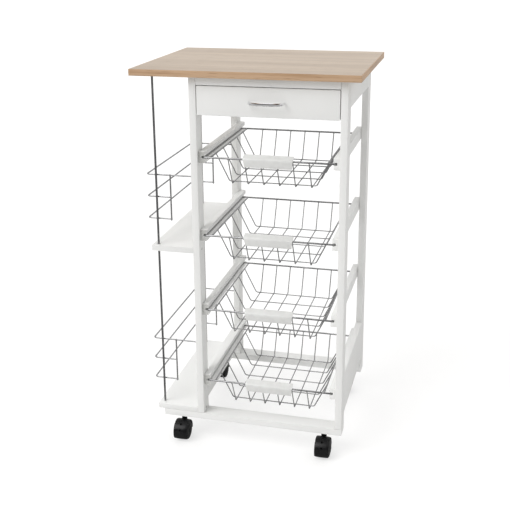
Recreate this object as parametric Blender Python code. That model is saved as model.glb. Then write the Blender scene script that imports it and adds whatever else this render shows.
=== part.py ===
"""Rolling utility cart: a wooden frame on four twin-wheel castors.

Four wire baskets and a small drawer slide out between the posts. Open shelves
with wire guard rails stand on the left. Lengths are metres, +Z is up and the
front of the cart faces -Y. The origin is on the floor, under the middle.
"""

import math

import bmesh
import bpy
from mathutils import Matrix, Vector

# Overall sizes
TOP_WIDTH = 0.470
TOP_DEPTH = 0.370
TOP_THICKNESS = 0.0135
TOTAL_HEIGHT = 0.837
CASTOR_HEIGHT = 0.057

# Wooden frame
BOARD = 0.0145
POST_DEPTH = 0.035
FRAME_SETBACK = 0.0155
RIGHT_OVERHANG = 0.0265
SIDE_BAY = 0.1205
BASE_END_INSET = 0.0145
TOP_RAIL_HEIGHT = 0.057
FRONT_RAIL_HEIGHT = 0.0165
RIGHT_LOW_BOARD_HEIGHT = 0.096
LEFT_LOW_BOARD_DROP = 0.0135
LOW_BOARD_CLEARANCE = 0.0245
JOINT_GAP = 0.0003

# Runners, which carry the baskets
BASKET_COUNT = 4
RUNNER_THICKNESS = 0.0135
RUNNER_HEIGHT = 0.0248
LOWEST_RUNNER_RISE = 0.092
HIGHEST_RUNNER_DROP = 0.0763
RUNNER_FRONT_SETBACK = 0.0075
RUNNER_REAR_SETBACK = 0.0125
GROOVE_DEPTH = 0.0075
SLIDE_CLEARANCE = 0.0010

# Baskets
LOOP_RADIUS = 0.0020
SIDE_RIM_RADIUS = 0.0016
WIRE_RADIUS = 0.0012
WELD_OVERLAP = 0.0004
BASKET_FRONT_SETBACK = 0.0013
BASKET_REAR_GAP = 0.0207
BASKET_DROP = 0.060
SIDE_RIM_INSET = 0.0115
SIDE_SLOPE = 0.029
FRONT_SLOPE = 0.031
REAR_SLOPE = 0.029
LONG_WIRES = 6
LONG_WIRE_MARGIN = 0.0087
CROSS_WIRES = 5
CROSS_WIRE_MARGIN = 0.0105
LOOP_BEND = 0.006
WIRE_BEND = 0.007

# Basket grips
GRIP_END = 0.0184
GRIP_TAPER = 0.003
GRIP_WALL = 0.0022
GRIP_HEIGHT = 0.0185
CLIP_WIDTH = 0.0030
CLIP_WALL = 0.0016
CLIP_CLEARANCE = 0.0004

# Side shelves, rods and guard rails
SHELF_SETBACK = 0.028
SHELF_THICKNESS = 0.012
MIDDLE_SHELF_RISE = 0.3889
ROD_RADIUS = 0.0023
ROD_INSET = 0.0112
ROD_HOLE_CLEARANCE = 0.0004
GUARD_RADIUS = 0.0016
GUARD_POST_RADIUS = 0.0018
GUARD_OVERHANG = 0.011
GUARD_LOW_RISE = 0.056
GUARD_PITCH = 0.048
GUARD_BEND = 0.007
GUARD_POST_OFFSET = 0.052
GUARD_POST_TAIL = 0.003

# Drawer
DRAWER_FRONT_HEIGHT = 0.0596
DRAWER_FRONT_THICKNESS = 0.0120
DRAWER_GAP = 0.0015
DRAWER_REAR_GAP = 0.0222
DRAWER_SIDE_THICKNESS = 0.010
DRAWER_SIDE_DROP = 0.0096
DRAWER_SIDE_RISE = 0.006
DRAWER_SIDE_CLEARANCE = 0.0035
DRAWER_FLOOR_THICKNESS = 0.003
DRAWER_FLOOR_RISE = 0.005
FLOOR_HOUSING = 0.004
GUIDE_HEIGHT = 0.010
GUIDE_DROP = 0.016
GUIDE_REACH = 0.0070
GUIDE_CLEARANCE = 0.0006
SIDE_GROOVE_DEPTH = 0.0050

# Drawer handle
HANDLE_LENGTH = 0.076
HANDLE_PROJECTION = 0.023
HANDLE_STRAP = 0.0034
HANDLE_HEIGHT = 0.0065

# Castors
WHEEL_RADIUS = 0.0215
WHEEL_WIDTH = 0.0125
WHEEL_CROWN = 0.0030
CASTOR_TRAIL = 0.013
CASTOR_INSET = 0.040
WEB_THICKNESS = 0.005
WHEEL_SIDE_CLEARANCE = 0.0005
FENDER_WALL = 0.0014
FENDER_CLEARANCE = 0.0009
COLLAR_RADIUS = 0.006
STEM_RADIUS = 0.0037
STEM_LENGTH = 0.011
STEM_CLEARANCE = 0.0004
AXLE_RADIUS = 0.0020
AXLE_CLEARANCE = 0.0003
HUB_RADIUS = 0.0055

# Places worked out from the sizes above
HANDLE_LEAD = HANDLE_PROJECTION - FRAME_SETBACK
TOP_FRONT = (HANDLE_LEAD - TOP_DEPTH) / 2
TOP_LEFT = -TOP_WIDTH / 2
TOP_UNDERSIDE = TOTAL_HEIGHT - TOP_THICKNESS
FRAME_FRONT = TOP_FRONT + FRAME_SETBACK
FRAME_BACK = TOP_FRONT + TOP_DEPTH - FRAME_SETBACK
LEFT_POST = TOP_LEFT + SIDE_BAY
RIGHT_POST = TOP_WIDTH / 2 - RIGHT_OVERHANG
BAY_LEFT = LEFT_POST + BOARD
BAY_RIGHT = RIGHT_POST - BOARD
BAY_MIDDLE = (BAY_LEFT + BAY_RIGHT) / 2
BAY_HALF = (BAY_RIGHT - BAY_LEFT) / 2
BASE_TOP = CASTOR_HEIGHT + BOARD
SHELF_LEFT = TOP_LEFT + SHELF_SETBACK
BASE_LEFT = SHELF_LEFT + BASE_END_INSET
BOTTOM_SHELF_TOP = BASE_TOP + JOINT_GAP + SHELF_THICKNESS
MIDDLE_SHELF_TOP = BASE_TOP + MIDDLE_SHELF_RISE
FRONT_POST_MIDDLE = FRAME_FRONT + POST_DEPTH / 2
BACK_POST_MIDDLE = FRAME_BACK - POST_DEPTH / 2
RUNNER_FACE = BAY_HALF - JOINT_GAP - RUNNER_THICKNESS
GROOVE_HEIGHT = 2 * (LOOP_RADIUS + SLIDE_CLEARANCE)
LOOP_HALF = RUNNER_FACE + GROOVE_DEPTH - SLIDE_CLEARANCE - LOOP_RADIUS
SIDE_RIM_HALF = RUNNER_FACE - SIDE_RIM_INSET
LOOP_FRONT = FRAME_FRONT + RUNNER_FRONT_SETBACK + BASKET_FRONT_SETBACK
BASKET_LENGTH = FRAME_BACK - RUNNER_REAR_SETBACK - BASKET_REAR_GAP - LOOP_FRONT
OUTER_LONG_WIRE = SIDE_RIM_HALF - SIDE_SLOPE - LONG_WIRE_MARGIN
LONG_WIRE_PITCH = 2 * OUTER_LONG_WIRE / (LONG_WIRES - 1)
GRIP_HALF = LONG_WIRE_PITCH + GRIP_END
DRAWER_TOP = TOP_UNDERSIDE - JOINT_GAP - FRONT_RAIL_HEIGHT - DRAWER_GAP
DRAWER_BASE = DRAWER_TOP - DRAWER_FRONT_HEIGHT
DRAWER_HALF = BAY_HALF - DRAWER_GAP
DRAWER_BOX_HALF = BAY_HALF - DRAWER_SIDE_CLEARANCE
DRAWER_BOX_TOP = DRAWER_TOP - DRAWER_SIDE_DROP
DRAWER_BOX_FRONT = FRAME_FRONT + DRAWER_FRONT_THICKNESS + JOINT_GAP
DRAWER_BACK = FRAME_BACK - BOARD - DRAWER_REAR_GAP
HIGHEST_RUNNER = DRAWER_BASE - HIGHEST_RUNNER_DROP
LOWEST_RUNNER = BASE_TOP + LOWEST_RUNNER_RISE
WHEEL_INNER = WEB_THICKNESS / 2 + WHEEL_SIDE_CLEARANCE
FENDER_INNER = WHEEL_RADIUS + FENDER_CLEARANCE
FENDER_HALF = WHEEL_INNER + WHEEL_WIDTH


def clear_scene():
    """Remove every object, so that only the cart is left."""
    for obj in list(bpy.data.objects):
        bpy.data.objects.remove(obj, do_unlink=True)


def material(name, colour, roughness, metallic=0.0):
    """Return a Principled material of one plain colour."""
    made = bpy.data.materials.new(name)
    made.use_nodes = True
    shader = made.node_tree.nodes["Principled BSDF"]
    shader.inputs["Base Color"].default_value = (*colour, 1.0)
    shader.inputs["Roughness"].default_value = roughness
    shader.inputs["Metallic"].default_value = metallic
    return made


def white_paint(name):
    return material(name + "_paint", (0.86, 0.86, 0.84), 0.45)


def oak_laminate(name):
    return material(name + "_laminate", (0.58, 0.40, 0.25), 0.45)


def chrome(name):
    return material(name + "_chrome", (0.62, 0.62, 0.63), 0.2, 1.0)


def white_plastic(name):
    return material(name + "_plastic", (0.84, 0.84, 0.83), 0.4)


def black_plastic(name):
    return material(name + "_plastic", (0.02, 0.02, 0.022), 0.4)


def finish(mesh_builder, name, look, place=(0.0, 0.0, 0.0), parent=None, smooth=False):
    """Turn a bmesh into a named object at a place, under its parent."""
    bmesh.ops.recalc_face_normals(mesh_builder, faces=mesh_builder.faces)
    mesh = bpy.data.meshes.new(name)
    mesh_builder.to_mesh(mesh)
    mesh_builder.free()
    return place_mesh(mesh, name, look, place, parent, smooth)


def place_mesh(mesh, name, look, place=(0.0, 0.0, 0.0), parent=None, smooth=False):
    """Link a mesh as a named object with its own material."""
    if smooth:
        mesh.shade_smooth()
        mesh.set_sharp_from_angle(angle=math.radians(35))
    obj = bpy.data.objects.new(name, mesh)
    bpy.context.scene.collection.objects.link(obj)
    obj.location = place
    obj.parent = parent
    if look is not None:
        mesh.materials.append(look(name))
    return obj


def pivot(name, place, parent=None):
    """Add an empty on a joint's axis."""
    empty = bpy.data.objects.new(name, None)
    empty.empty_display_size = 0.02
    bpy.context.scene.collection.objects.link(empty)
    empty.location = place
    empty.parent = parent
    return empty


def board(name, look, x, y, z, parent=None, origin=(0.0, 0.0, 0.0)):
    """Add a rectangular board between pairs of limits along X, Y and Z."""
    size = Vector((x[1] - x[0], y[1] - y[0], z[1] - z[0]))
    middle = Vector(((x[0] + x[1]) / 2, (y[0] + y[1]) / 2, (z[0] + z[1]) / 2))
    block = bmesh.new()
    bmesh.ops.create_cube(block, size=1.0, matrix=Matrix.Diagonal((*size, 1.0)))
    return finish(block, name, look, middle - Vector(origin), parent)


def extrude_outline(outline, axis, start, end):
    """Return a bmesh prism of a flat outline, along "X", "Y" or "Z"."""
    prism = bmesh.new()
    layers = []
    for offset in (start, end):
        layer = []
        for first, second in outline:
            point = {
                "X": (offset, first, second),
                "Y": (first, offset, second),
                "Z": (first, second, offset),
            }[axis]
            layer.append(prism.verts.new(point))
        layers.append(layer)
    count = len(outline)
    for index in range(count):
        after = (index + 1) % count
        corners = (layers[0][index], layers[0][after], layers[1][after], layers[1][index])
        prism.faces.new(corners)
    prism.faces.new(layers[0])
    prism.faces.new(layers[1])
    return prism


def arc(radius, start, end, steps):
    """Return points on an arc about the origin, angles in degrees."""
    angles = [math.radians(start + (end - start) * step / steps) for step in range(steps + 1)]
    return [(radius * math.cos(angle), radius * math.sin(angle)) for angle in angles]


def round_corners(points, radius, steps=2, closed=False):
    """Replace each inner corner of a path by a short arc."""
    path = [Vector(point) for point in points]
    count = len(path)
    rounded = []
    for index, corner in enumerate(path):
        if not closed and index in (0, count - 1):
            rounded.append(corner)
            continue
        back = (path[index - 1] - corner).normalized()
        ahead = (path[(index + 1) % count] - corner).normalized()
        half = back.angle(ahead) / 2
        reach = radius / math.tan(half)
        centre = corner + (back + ahead).normalized() * (radius / math.sin(half))
        first = corner + back * reach - centre
        last = corner + ahead * reach - centre
        for step in range(steps + 1):
            blend = first.slerp(last, step / steps).normalized() * radius
            rounded.append(centre + blend)
    return rounded


def sweep(points, radius, sides, closed=False):
    """Return a bmesh wire along a path, its flats square to Z and to the path."""
    wire = bmesh.new()
    count = len(points)
    rings = []
    normal = None
    for index, point in enumerate(points):
        before = points[index - 1] if closed or index else point
        after = points[(index + 1) % count] if closed or index < count - 1 else point
        into = (point - before).normalized() if point != before else None
        out = (after - point).normalized() if after != point else None
        along = ((into or out) + (out or into)).normalized()
        stretch = 1.0 / max(0.5, along.dot(out or into))
        if normal is None:
            normal = along.orthogonal() if abs(along.z) > 0.9 else Vector((0.0, 0.0, 1.0))
        normal = (normal - along * normal.dot(along)).normalized()
        side = along.cross(normal)
        bend = ((out or into) - (into or out))
        ring = []
        for corner in range(sides):
            angle = 2 * math.pi * (corner + 0.5) / sides
            offset = normal * math.cos(angle) * radius + side * math.sin(angle) * radius
            if bend.length > 1e-6:
                turn = bend.normalized()
                offset += turn * offset.dot(turn) * (stretch - 1.0)
            ring.append(wire.verts.new(point + offset))
        rings.append(ring)
    last = count if closed else count - 1
    for index in range(last):
        near = rings[index]
        far = rings[(index + 1) % count]
        for corner in range(sides):
            after = (corner + 1) % sides
            wire.faces.new((near[corner], near[after], far[after], far[corner]))
    if not closed:
        wire.faces.new(rings[0])
        wire.faces.new(rings[-1])
    return wire


def lathe(profile, steps):
    """Return a bmesh turned about the X axis from (x, radius) points."""
    turned = bmesh.new()
    rings = []
    for along, radius in profile:
        if radius == 0.0:
            rings.append([turned.verts.new((along, 0.0, 0.0))] * steps)
            continue
        spots = [2 * math.pi * step / steps for step in range(steps)]
        ring = [(along, radius * math.cos(spot), radius * math.sin(spot)) for spot in spots]
        rings.append([turned.verts.new(point) for point in ring])
    for near, far in zip(rings, rings[1:]):
        for step in range(steps):
            after = (step + 1) % steps
            corners = [near[step], near[after], far[after], far[step]]
            turned.faces.new(list(dict.fromkeys(corners)))
    return turned


def cylinder(radius, start, end, steps=20):
    """Return a bmesh cylinder along Z."""
    rod = bmesh.new()
    lift = Matrix.Translation((0.0, 0.0, (start + end) / 2))
    bmesh.ops.create_cone(
        rod,
        cap_ends=True,
        segments=steps,
        radius1=radius,
        radius2=radius,
        depth=end - start,
        matrix=lift,
    )
    return rod


def combine(solids, operation="UNION"):
    """Boolean the later solids into the first one and return its mesh."""
    helpers = bpy.data.collections.new("helpers")
    objects = [finish(solid, "helper", None) for solid in solids]
    for obj in objects[1:]:
        helpers.objects.link(obj)
    modifier = objects[0].modifiers.new("combine", "BOOLEAN")
    modifier.operation = operation
    modifier.solver = "EXACT"
    modifier.operand_type = "COLLECTION"
    modifier.collection = helpers
    graph = bpy.context.evaluated_depsgraph_get()
    mesh = bpy.data.meshes.new_from_object(objects[0].evaluated_get(graph))
    for obj in objects:
        bpy.data.objects.remove(obj, do_unlink=True)
    bpy.data.collections.remove(helpers)
    return mesh


def from_mesh(mesh):
    """Return a bmesh copy of a mesh, for one more Boolean."""
    copy = bmesh.new()
    copy.from_mesh(mesh)
    return copy


def moved(solid, place):
    """Shift a bmesh and return it."""
    bmesh.ops.translate(solid, verts=solid.verts, vec=place)
    return solid


def add_tabletop():
    board(
        "tabletop",
        oak_laminate,
        (TOP_LEFT, -TOP_LEFT),
        (TOP_FRONT, TOP_FRONT + TOP_DEPTH),
        (TOP_UNDERSIDE, TOTAL_HEIGHT),
    )


def add_posts():
    heights = (BASE_TOP + JOINT_GAP, TOP_UNDERSIDE - JOINT_GAP)
    rows = {
        "front": (FRAME_FRONT, FRAME_FRONT + POST_DEPTH),
        "rear": (FRAME_BACK - POST_DEPTH, FRAME_BACK),
    }
    for row, depth in rows.items():
        board(f"post_{row}_left", white_paint, (LEFT_POST, BAY_LEFT), depth, heights)
        board(f"post_{row}_right", white_paint, (BAY_RIGHT, RIGHT_POST), depth, heights)


def castor_places():
    """Return each castor's name with its stem's X and Y."""
    columns = {"left": BASE_LEFT + CASTOR_INSET, "right": RIGHT_POST - CASTOR_INSET}
    rows = {"front": FRONT_POST_MIDDLE, "rear": BACK_POST_MIDDLE}
    return {f"{row}_{side}": (columns[side], rows[row]) for row in rows for side in columns}


def add_base_boards():
    places = castor_places()
    for row, front in (("front", FRAME_FRONT), ("rear", FRAME_BACK - POST_DEPTH)):
        middle = Vector(((BASE_LEFT + RIGHT_POST) / 2, front + POST_DEPTH / 2, BASE_TOP - BOARD / 2))
        size = (RIGHT_POST - BASE_LEFT, POST_DEPTH, BOARD, 1.0)
        block = bmesh.new()
        bmesh.ops.create_cube(block, size=1.0, matrix=Matrix.Diagonal(size))
        cutters = []
        for side in ("left", "right"):
            bore = cylinder(
                STEM_RADIUS + STEM_CLEARANCE,
                -BOARD,
                STEM_LENGTH + STEM_CLEARANCE - BOARD / 2,
            )
            spot = places[f"{row}_{side}"]
            cutters.append(moved(bore, (spot[0] - middle.x, spot[1] - middle.y, 0.0)))
        mesh = combine([block, *cutters], "DIFFERENCE")
        place_mesh(mesh, f"base_board_{row}", white_paint, middle)


def add_side_boards():
    depth = (FRAME_FRONT + POST_DEPTH + JOINT_GAP, FRAME_BACK - POST_DEPTH - JOINT_GAP)
    top = TOP_UNDERSIDE - JOINT_GAP
    low = BASE_TOP + LOW_BOARD_CLEARANCE
    sides = (
        ("left", (LEFT_POST, BAY_LEFT), LOWEST_RUNNER - LEFT_LOW_BOARD_DROP),
        ("right", (BAY_RIGHT, RIGHT_POST), low + RIGHT_LOW_BOARD_HEIGHT),
    )
    for side, width, high in sides:
        board(f"top_side_rail_{side}", white_paint, width, depth, (top - TOP_RAIL_HEIGHT, top))
        board(f"lower_side_board_{side}", white_paint, width, depth, (low, high))


def add_cross_rails():
    width = (BAY_LEFT + JOINT_GAP, BAY_RIGHT - JOINT_GAP)
    top = TOP_UNDERSIDE - JOINT_GAP
    front = (FRAME_FRONT, FRAME_FRONT + BOARD)
    back = (FRAME_BACK - BOARD, FRAME_BACK)
    board("top_rail_front", white_paint, width, front, (top - FRONT_RAIL_HEIGHT, top))
    board("top_rail_rear", white_paint, width, back, (top - TOP_RAIL_HEIGHT, top))


def runner_top(number):
    """Return the height of a runner's top, number 1 being the highest pair."""
    share = (number - 1) / (BASKET_COUNT - 1)
    return HIGHEST_RUNNER + share * (LOWEST_RUNNER - HIGHEST_RUNNER)


def loop_height(number):
    return runner_top(number) - RUNNER_HEIGHT / 2


def add_runners():
    start = FRAME_FRONT + RUNNER_FRONT_SETBACK
    end = FRAME_BACK - RUNNER_REAR_SETBACK
    outer = BAY_HALF - JOINT_GAP
    half = RUNNER_HEIGHT / 2
    slot = GROOVE_HEIGHT / 2
    bottom = RUNNER_FACE + GROOVE_DEPTH
    outline = [
        (outer, -half),
        (outer, half),
        (RUNNER_FACE, half),
        (RUNNER_FACE, slot),
        (bottom, slot),
        (bottom, -slot),
        (RUNNER_FACE, -slot),
        (RUNNER_FACE, -half),
    ]
    for number in range(1, BASKET_COUNT + 1):
        place = (BAY_MIDDLE, 0.0, loop_height(number))
        for side, sign in (("left", -1), ("right", 1)):
            shape = [(sign * across, up) for across, up in outline]
            prism = extrude_outline(shape, "Y", start, end)
            finish(prism, f"runner_{side}_{number}", white_paint, place)


def basket_wires():
    """Return the welded wires of one basket, from the middle of its front rim."""
    corners = [
        (-LOOP_HALF, 0.0, 0.0),
        (LOOP_HALF, 0.0, 0.0),
        (LOOP_HALF, BASKET_LENGTH, 0.0),
        (-LOOP_HALF, BASKET_LENGTH, 0.0),
    ]
    wires = [sweep(round_corners(corners, LOOP_BEND, closed=True), LOOP_RADIUS, 6, closed=True)]
    for side in (-1, 1):
        rim = [Vector((side * SIDE_RIM_HALF, y, 0.0)) for y in (0.0, BASKET_LENGTH)]
        wires.append(sweep(rim, SIDE_RIM_RADIUS, 4))
    for index in range(LONG_WIRES):
        across = index * LONG_WIRE_PITCH - OUTER_LONG_WIRE
        path = [
            (across, 0.0, 0.0),
            (across, FRONT_SLOPE, -BASKET_DROP),
            (across, BASKET_LENGTH - REAR_SLOPE, -BASKET_DROP),
            (across, BASKET_LENGTH, 0.0),
        ]
        wires.append(sweep(round_corners(path, WIRE_BEND), WIRE_RADIUS, 4))
    flat_half = WIRE_RADIUS * math.cos(math.pi / 4)
    inner = -BASKET_DROP + 2 * flat_half - WELD_OVERLAP
    first = FRONT_SLOPE + CROSS_WIRE_MARGIN
    last = BASKET_LENGTH - REAR_SLOPE - CROSS_WIRE_MARGIN
    for index in range(CROSS_WIRES):
        back = first + index * (last - first) / (CROSS_WIRES - 1)
        path = [
            (-SIDE_RIM_HALF, back, 0.0),
            (SIDE_SLOPE - SIDE_RIM_HALF, back, inner),
            (SIDE_RIM_HALF - SIDE_SLOPE, back, inner),
            (SIDE_RIM_HALF, back, 0.0),
        ]
        wires.append(sweep(round_corners(path, WIRE_BEND), WIRE_RADIUS, 4))
    return combine(wires)


def grip_shell():
    """Return the grip's bent plate, from the middle of the rim wire it covers."""
    front = -(LOOP_RADIUS + GRIP_WALL + 0.0028)
    brow = (front, LOOP_RADIUS + 0.0005)
    heel = (-front + 0.001, brow[1] + 0.007)
    toe = (front + 0.005, brow[1] - GRIP_HEIGHT)
    outline = [
        brow,
        heel,
        (heel[0], heel[1] - GRIP_WALL),
        (brow[0] + GRIP_WALL, brow[1] - GRIP_WALL * 0.4),
        (toe[0] + GRIP_WALL, toe[1]),
        toe,
    ]
    plate = extrude_outline(outline, "X", -GRIP_HALF, GRIP_HALF)
    for vert in plate.verts:
        drop = (brow[1] - vert.co.z) / GRIP_HEIGHT
        vert.co.x -= math.copysign(GRIP_TAPER * max(0.0, drop), vert.co.x)
    return plate


def basket_grip():
    """Return one grip with the two clips that hold it on the rim."""
    bore = LOOP_RADIUS + CLIP_CLEARANCE
    reach = bore + CLIP_WALL
    outline = [
        (-reach - 0.0012, LOOP_RADIUS + 0.0008),
        (reach, LOOP_RADIUS + 0.0030),
        (reach, -reach),
        (-reach, -reach),
    ]
    clips = []
    holes = []
    ring = arc(bore, 0, 330, 11)
    gap = 0.75 * bore
    mouth = [(0.0, -gap), (2 * reach, -gap), (2 * reach, gap), (0.0, gap)]
    for side in (-1, 1):
        start = side * LONG_WIRE_PITCH - CLIP_WIDTH / 2
        end = start + CLIP_WIDTH
        clips.append(extrude_outline(outline, "X", start, end))
        for hole in (ring, mouth):
            holes.append(extrude_outline(hole, "X", start - CLIP_WIDTH, end + CLIP_WIDTH))
    solid = combine([grip_shell(), *clips])
    return combine([from_mesh(solid), *holes], "DIFFERENCE")


def add_baskets():
    wires = basket_wires()
    grip = basket_grip()
    for number in range(1, BASKET_COUNT + 1):
        slide = pivot(f"basket_{number}_slide", (BAY_MIDDLE, LOOP_FRONT, loop_height(number)))
        place_mesh(wires.copy(), f"basket_{number}_wires", chrome, parent=slide)
        place_mesh(grip.copy(), f"basket_{number}_grip", white_plastic, parent=slide)


def rod_places():
    """Return each rod's name with its X and Y."""
    across = SHELF_LEFT + ROD_INSET
    beside = ROD_RADIUS + GUARD_RADIUS + JOINT_GAP
    return {
        "front": (across, FRONT_POST_MIDDLE - beside),
        "rear": (across, BACK_POST_MIDDLE + beside),
    }


def add_shelves():
    width = (SHELF_LEFT, LEFT_POST - JOINT_GAP)
    depth = (FRAME_FRONT + JOINT_GAP, FRAME_BACK - JOINT_GAP)
    low = (BASE_TOP + JOINT_GAP, BOTTOM_SHELF_TOP)
    board("side_shelf_bottom", white_paint, width, depth, low)
    middle = Vector((sum(width) / 2, sum(depth) / 2, MIDDLE_SHELF_TOP - SHELF_THICKNESS / 2))
    size = (width[1] - width[0], depth[1] - depth[0], SHELF_THICKNESS, 1.0)
    block = bmesh.new()
    bmesh.ops.create_cube(block, size=1.0, matrix=Matrix.Diagonal(size))
    holes = []
    for spot in rod_places().values():
        hole = cylinder(ROD_RADIUS + ROD_HOLE_CLEARANCE, -SHELF_THICKNESS, SHELF_THICKNESS, 16)
        holes.append(moved(hole, (spot[0] - middle.x, spot[1] - middle.y, 0.0)))
    mesh = combine([block, *holes], "DIFFERENCE")
    place_mesh(mesh, "side_shelf_middle", white_paint, middle)


def add_rods():
    start = BOTTOM_SHELF_TOP + JOINT_GAP
    end = TOP_UNDERSIDE - JOINT_GAP
    for name, spot in rod_places().items():
        rod = cylinder(ROD_RADIUS, 0.0, end - start, 12)
        finish(rod, f"shelf_rod_{name}", chrome, (*spot, start), smooth=True)


def add_guard_rail(name, shelf_top):
    """Add one welded guard rail: three bent bars and two short uprights."""
    outside = SHELF_LEFT - GUARD_OVERHANG
    upright = outside + GUARD_POST_OFFSET
    wires = []
    for level in range(3):
        height = GUARD_LOW_RISE + level * GUARD_PITCH
        inside = LEFT_POST - JOINT_GAP if level == 2 else upright
        path = [
            (inside, FRONT_POST_MIDDLE, height),
            (outside, FRONT_POST_MIDDLE, height),
            (outside, BACK_POST_MIDDLE, height),
            (inside, BACK_POST_MIDDLE, height),
        ]
        wires.append(sweep(round_corners(path, GUARD_BEND), GUARD_RADIUS, 6))
    heights = (GUARD_LOW_RISE - GUARD_POST_TAIL, GUARD_LOW_RISE + 2 * GUARD_PITCH + GUARD_POST_TAIL / 2)
    for depth in (FRONT_POST_MIDDLE, BACK_POST_MIDDLE):
        stand = [Vector((upright, depth, height)) for height in heights]
        wires.append(sweep(stand, GUARD_POST_RADIUS, 6))
    mesh = combine(wires)
    place_mesh(mesh, name, chrome, (0.0, 0.0, shelf_top), smooth=True)


def add_drawer_guides():
    start = FRAME_FRONT + POST_DEPTH + JOINT_GAP
    high = DRAWER_BOX_TOP - GUIDE_DROP
    height = (high - GUIDE_HEIGHT, high)
    outer = BAY_HALF - JOINT_GAP
    for side, sign in (("left", -1), ("right", 1)):
        across = sorted((BAY_MIDDLE + sign * outer, BAY_MIDDLE + sign * (outer - GUIDE_REACH)))
        board(f"drawer_guide_{side}", white_paint, across, (start, DRAWER_BACK), height)


def add_drawer():
    origin = (BAY_MIDDLE, FRAME_FRONT, DRAWER_BASE)
    slide = pivot("drawer_slide", origin)
    board(
        "drawer_front",
        white_paint,
        (BAY_MIDDLE - DRAWER_HALF, BAY_MIDDLE + DRAWER_HALF),
        (FRAME_FRONT, FRAME_FRONT + DRAWER_FRONT_THICKNESS),
        (DRAWER_BASE, DRAWER_TOP),
        slide,
        origin,
    )
    inner = DRAWER_BOX_HALF - DRAWER_SIDE_THICKNESS
    top = DRAWER_FRONT_HEIGHT - DRAWER_SIDE_DROP
    slot = DRAWER_BOX_HALF - SIDE_GROOVE_DEPTH
    guide = top - GUIDE_DROP - GUIDE_HEIGHT
    floor = DRAWER_SIDE_RISE + DRAWER_FLOOR_RISE
    floor_top = floor + DRAWER_FLOOR_THICKNESS + JOINT_GAP
    housing = inner + FLOOR_HOUSING
    outline = [
        (DRAWER_BOX_HALF, DRAWER_SIDE_RISE),
        (DRAWER_BOX_HALF, guide - GUIDE_CLEARANCE),
        (slot, guide - GUIDE_CLEARANCE),
        (slot, guide + GUIDE_HEIGHT + GUIDE_CLEARANCE),
        (DRAWER_BOX_HALF, guide + GUIDE_HEIGHT + GUIDE_CLEARANCE),
        (DRAWER_BOX_HALF, top),
        (inner, top),
        (inner, floor_top),
        (housing, floor_top),
        (housing, floor - JOINT_GAP),
        (inner, floor - JOINT_GAP),
        (inner, DRAWER_SIDE_RISE),
    ]
    start = DRAWER_BOX_FRONT - FRAME_FRONT
    end = DRAWER_BACK - FRAME_FRONT
    for side, sign in (("left", -1), ("right", 1)):
        shape = [(sign * across, up) for across, up in outline]
        prism = extrude_outline(shape, "Y", start, end)
        finish(prism, f"drawer_side_{side}", white_paint, parent=slide)
    span = inner - JOINT_GAP
    across = (BAY_MIDDLE - span, BAY_MIDDLE + span)
    rear = (DRAWER_BACK - DRAWER_SIDE_THICKNESS, DRAWER_BACK)
    above = (DRAWER_BASE + floor_top, DRAWER_BASE + top)
    board("drawer_back", white_paint, across, rear, above, slide, origin)
    span = housing - JOINT_GAP
    across = (BAY_MIDDLE - span, BAY_MIDDLE + span)
    level = (DRAWER_BASE + floor, DRAWER_BASE + floor + DRAWER_FLOOR_THICKNESS)
    board("drawer_bottom", white_paint, across, (DRAWER_BOX_FRONT, DRAWER_BACK), level, slide, origin)
    add_handle(slide)


def bow(half, depth, steps):
    """Return the bow's outline: flat in the middle and square to the drawer at its feet."""
    points = []
    for step in range(steps + 1):
        angle = math.pi * step / steps
        across = -half * math.copysign(abs(math.cos(angle)) ** 0.7, math.cos(angle))
        points.append((across, -depth * math.sin(angle) ** 0.7))
    return points


def add_handle(slide):
    steps = 18
    outer = bow(HANDLE_LENGTH / 2, HANDLE_PROJECTION - JOINT_GAP, steps)
    inner = bow(HANDLE_LENGTH / 2 - HANDLE_STRAP, HANDLE_PROJECTION - JOINT_GAP - HANDLE_STRAP, steps)
    half = HANDLE_HEIGHT / 2
    strap = extrude_outline(outer + inner[::-1], "Z", -half, half)
    moved(strap, (0.0, -JOINT_GAP, DRAWER_FRONT_HEIGHT / 2))
    finish(strap, "drawer_handle", chrome, parent=slide, smooth=True)


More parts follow.
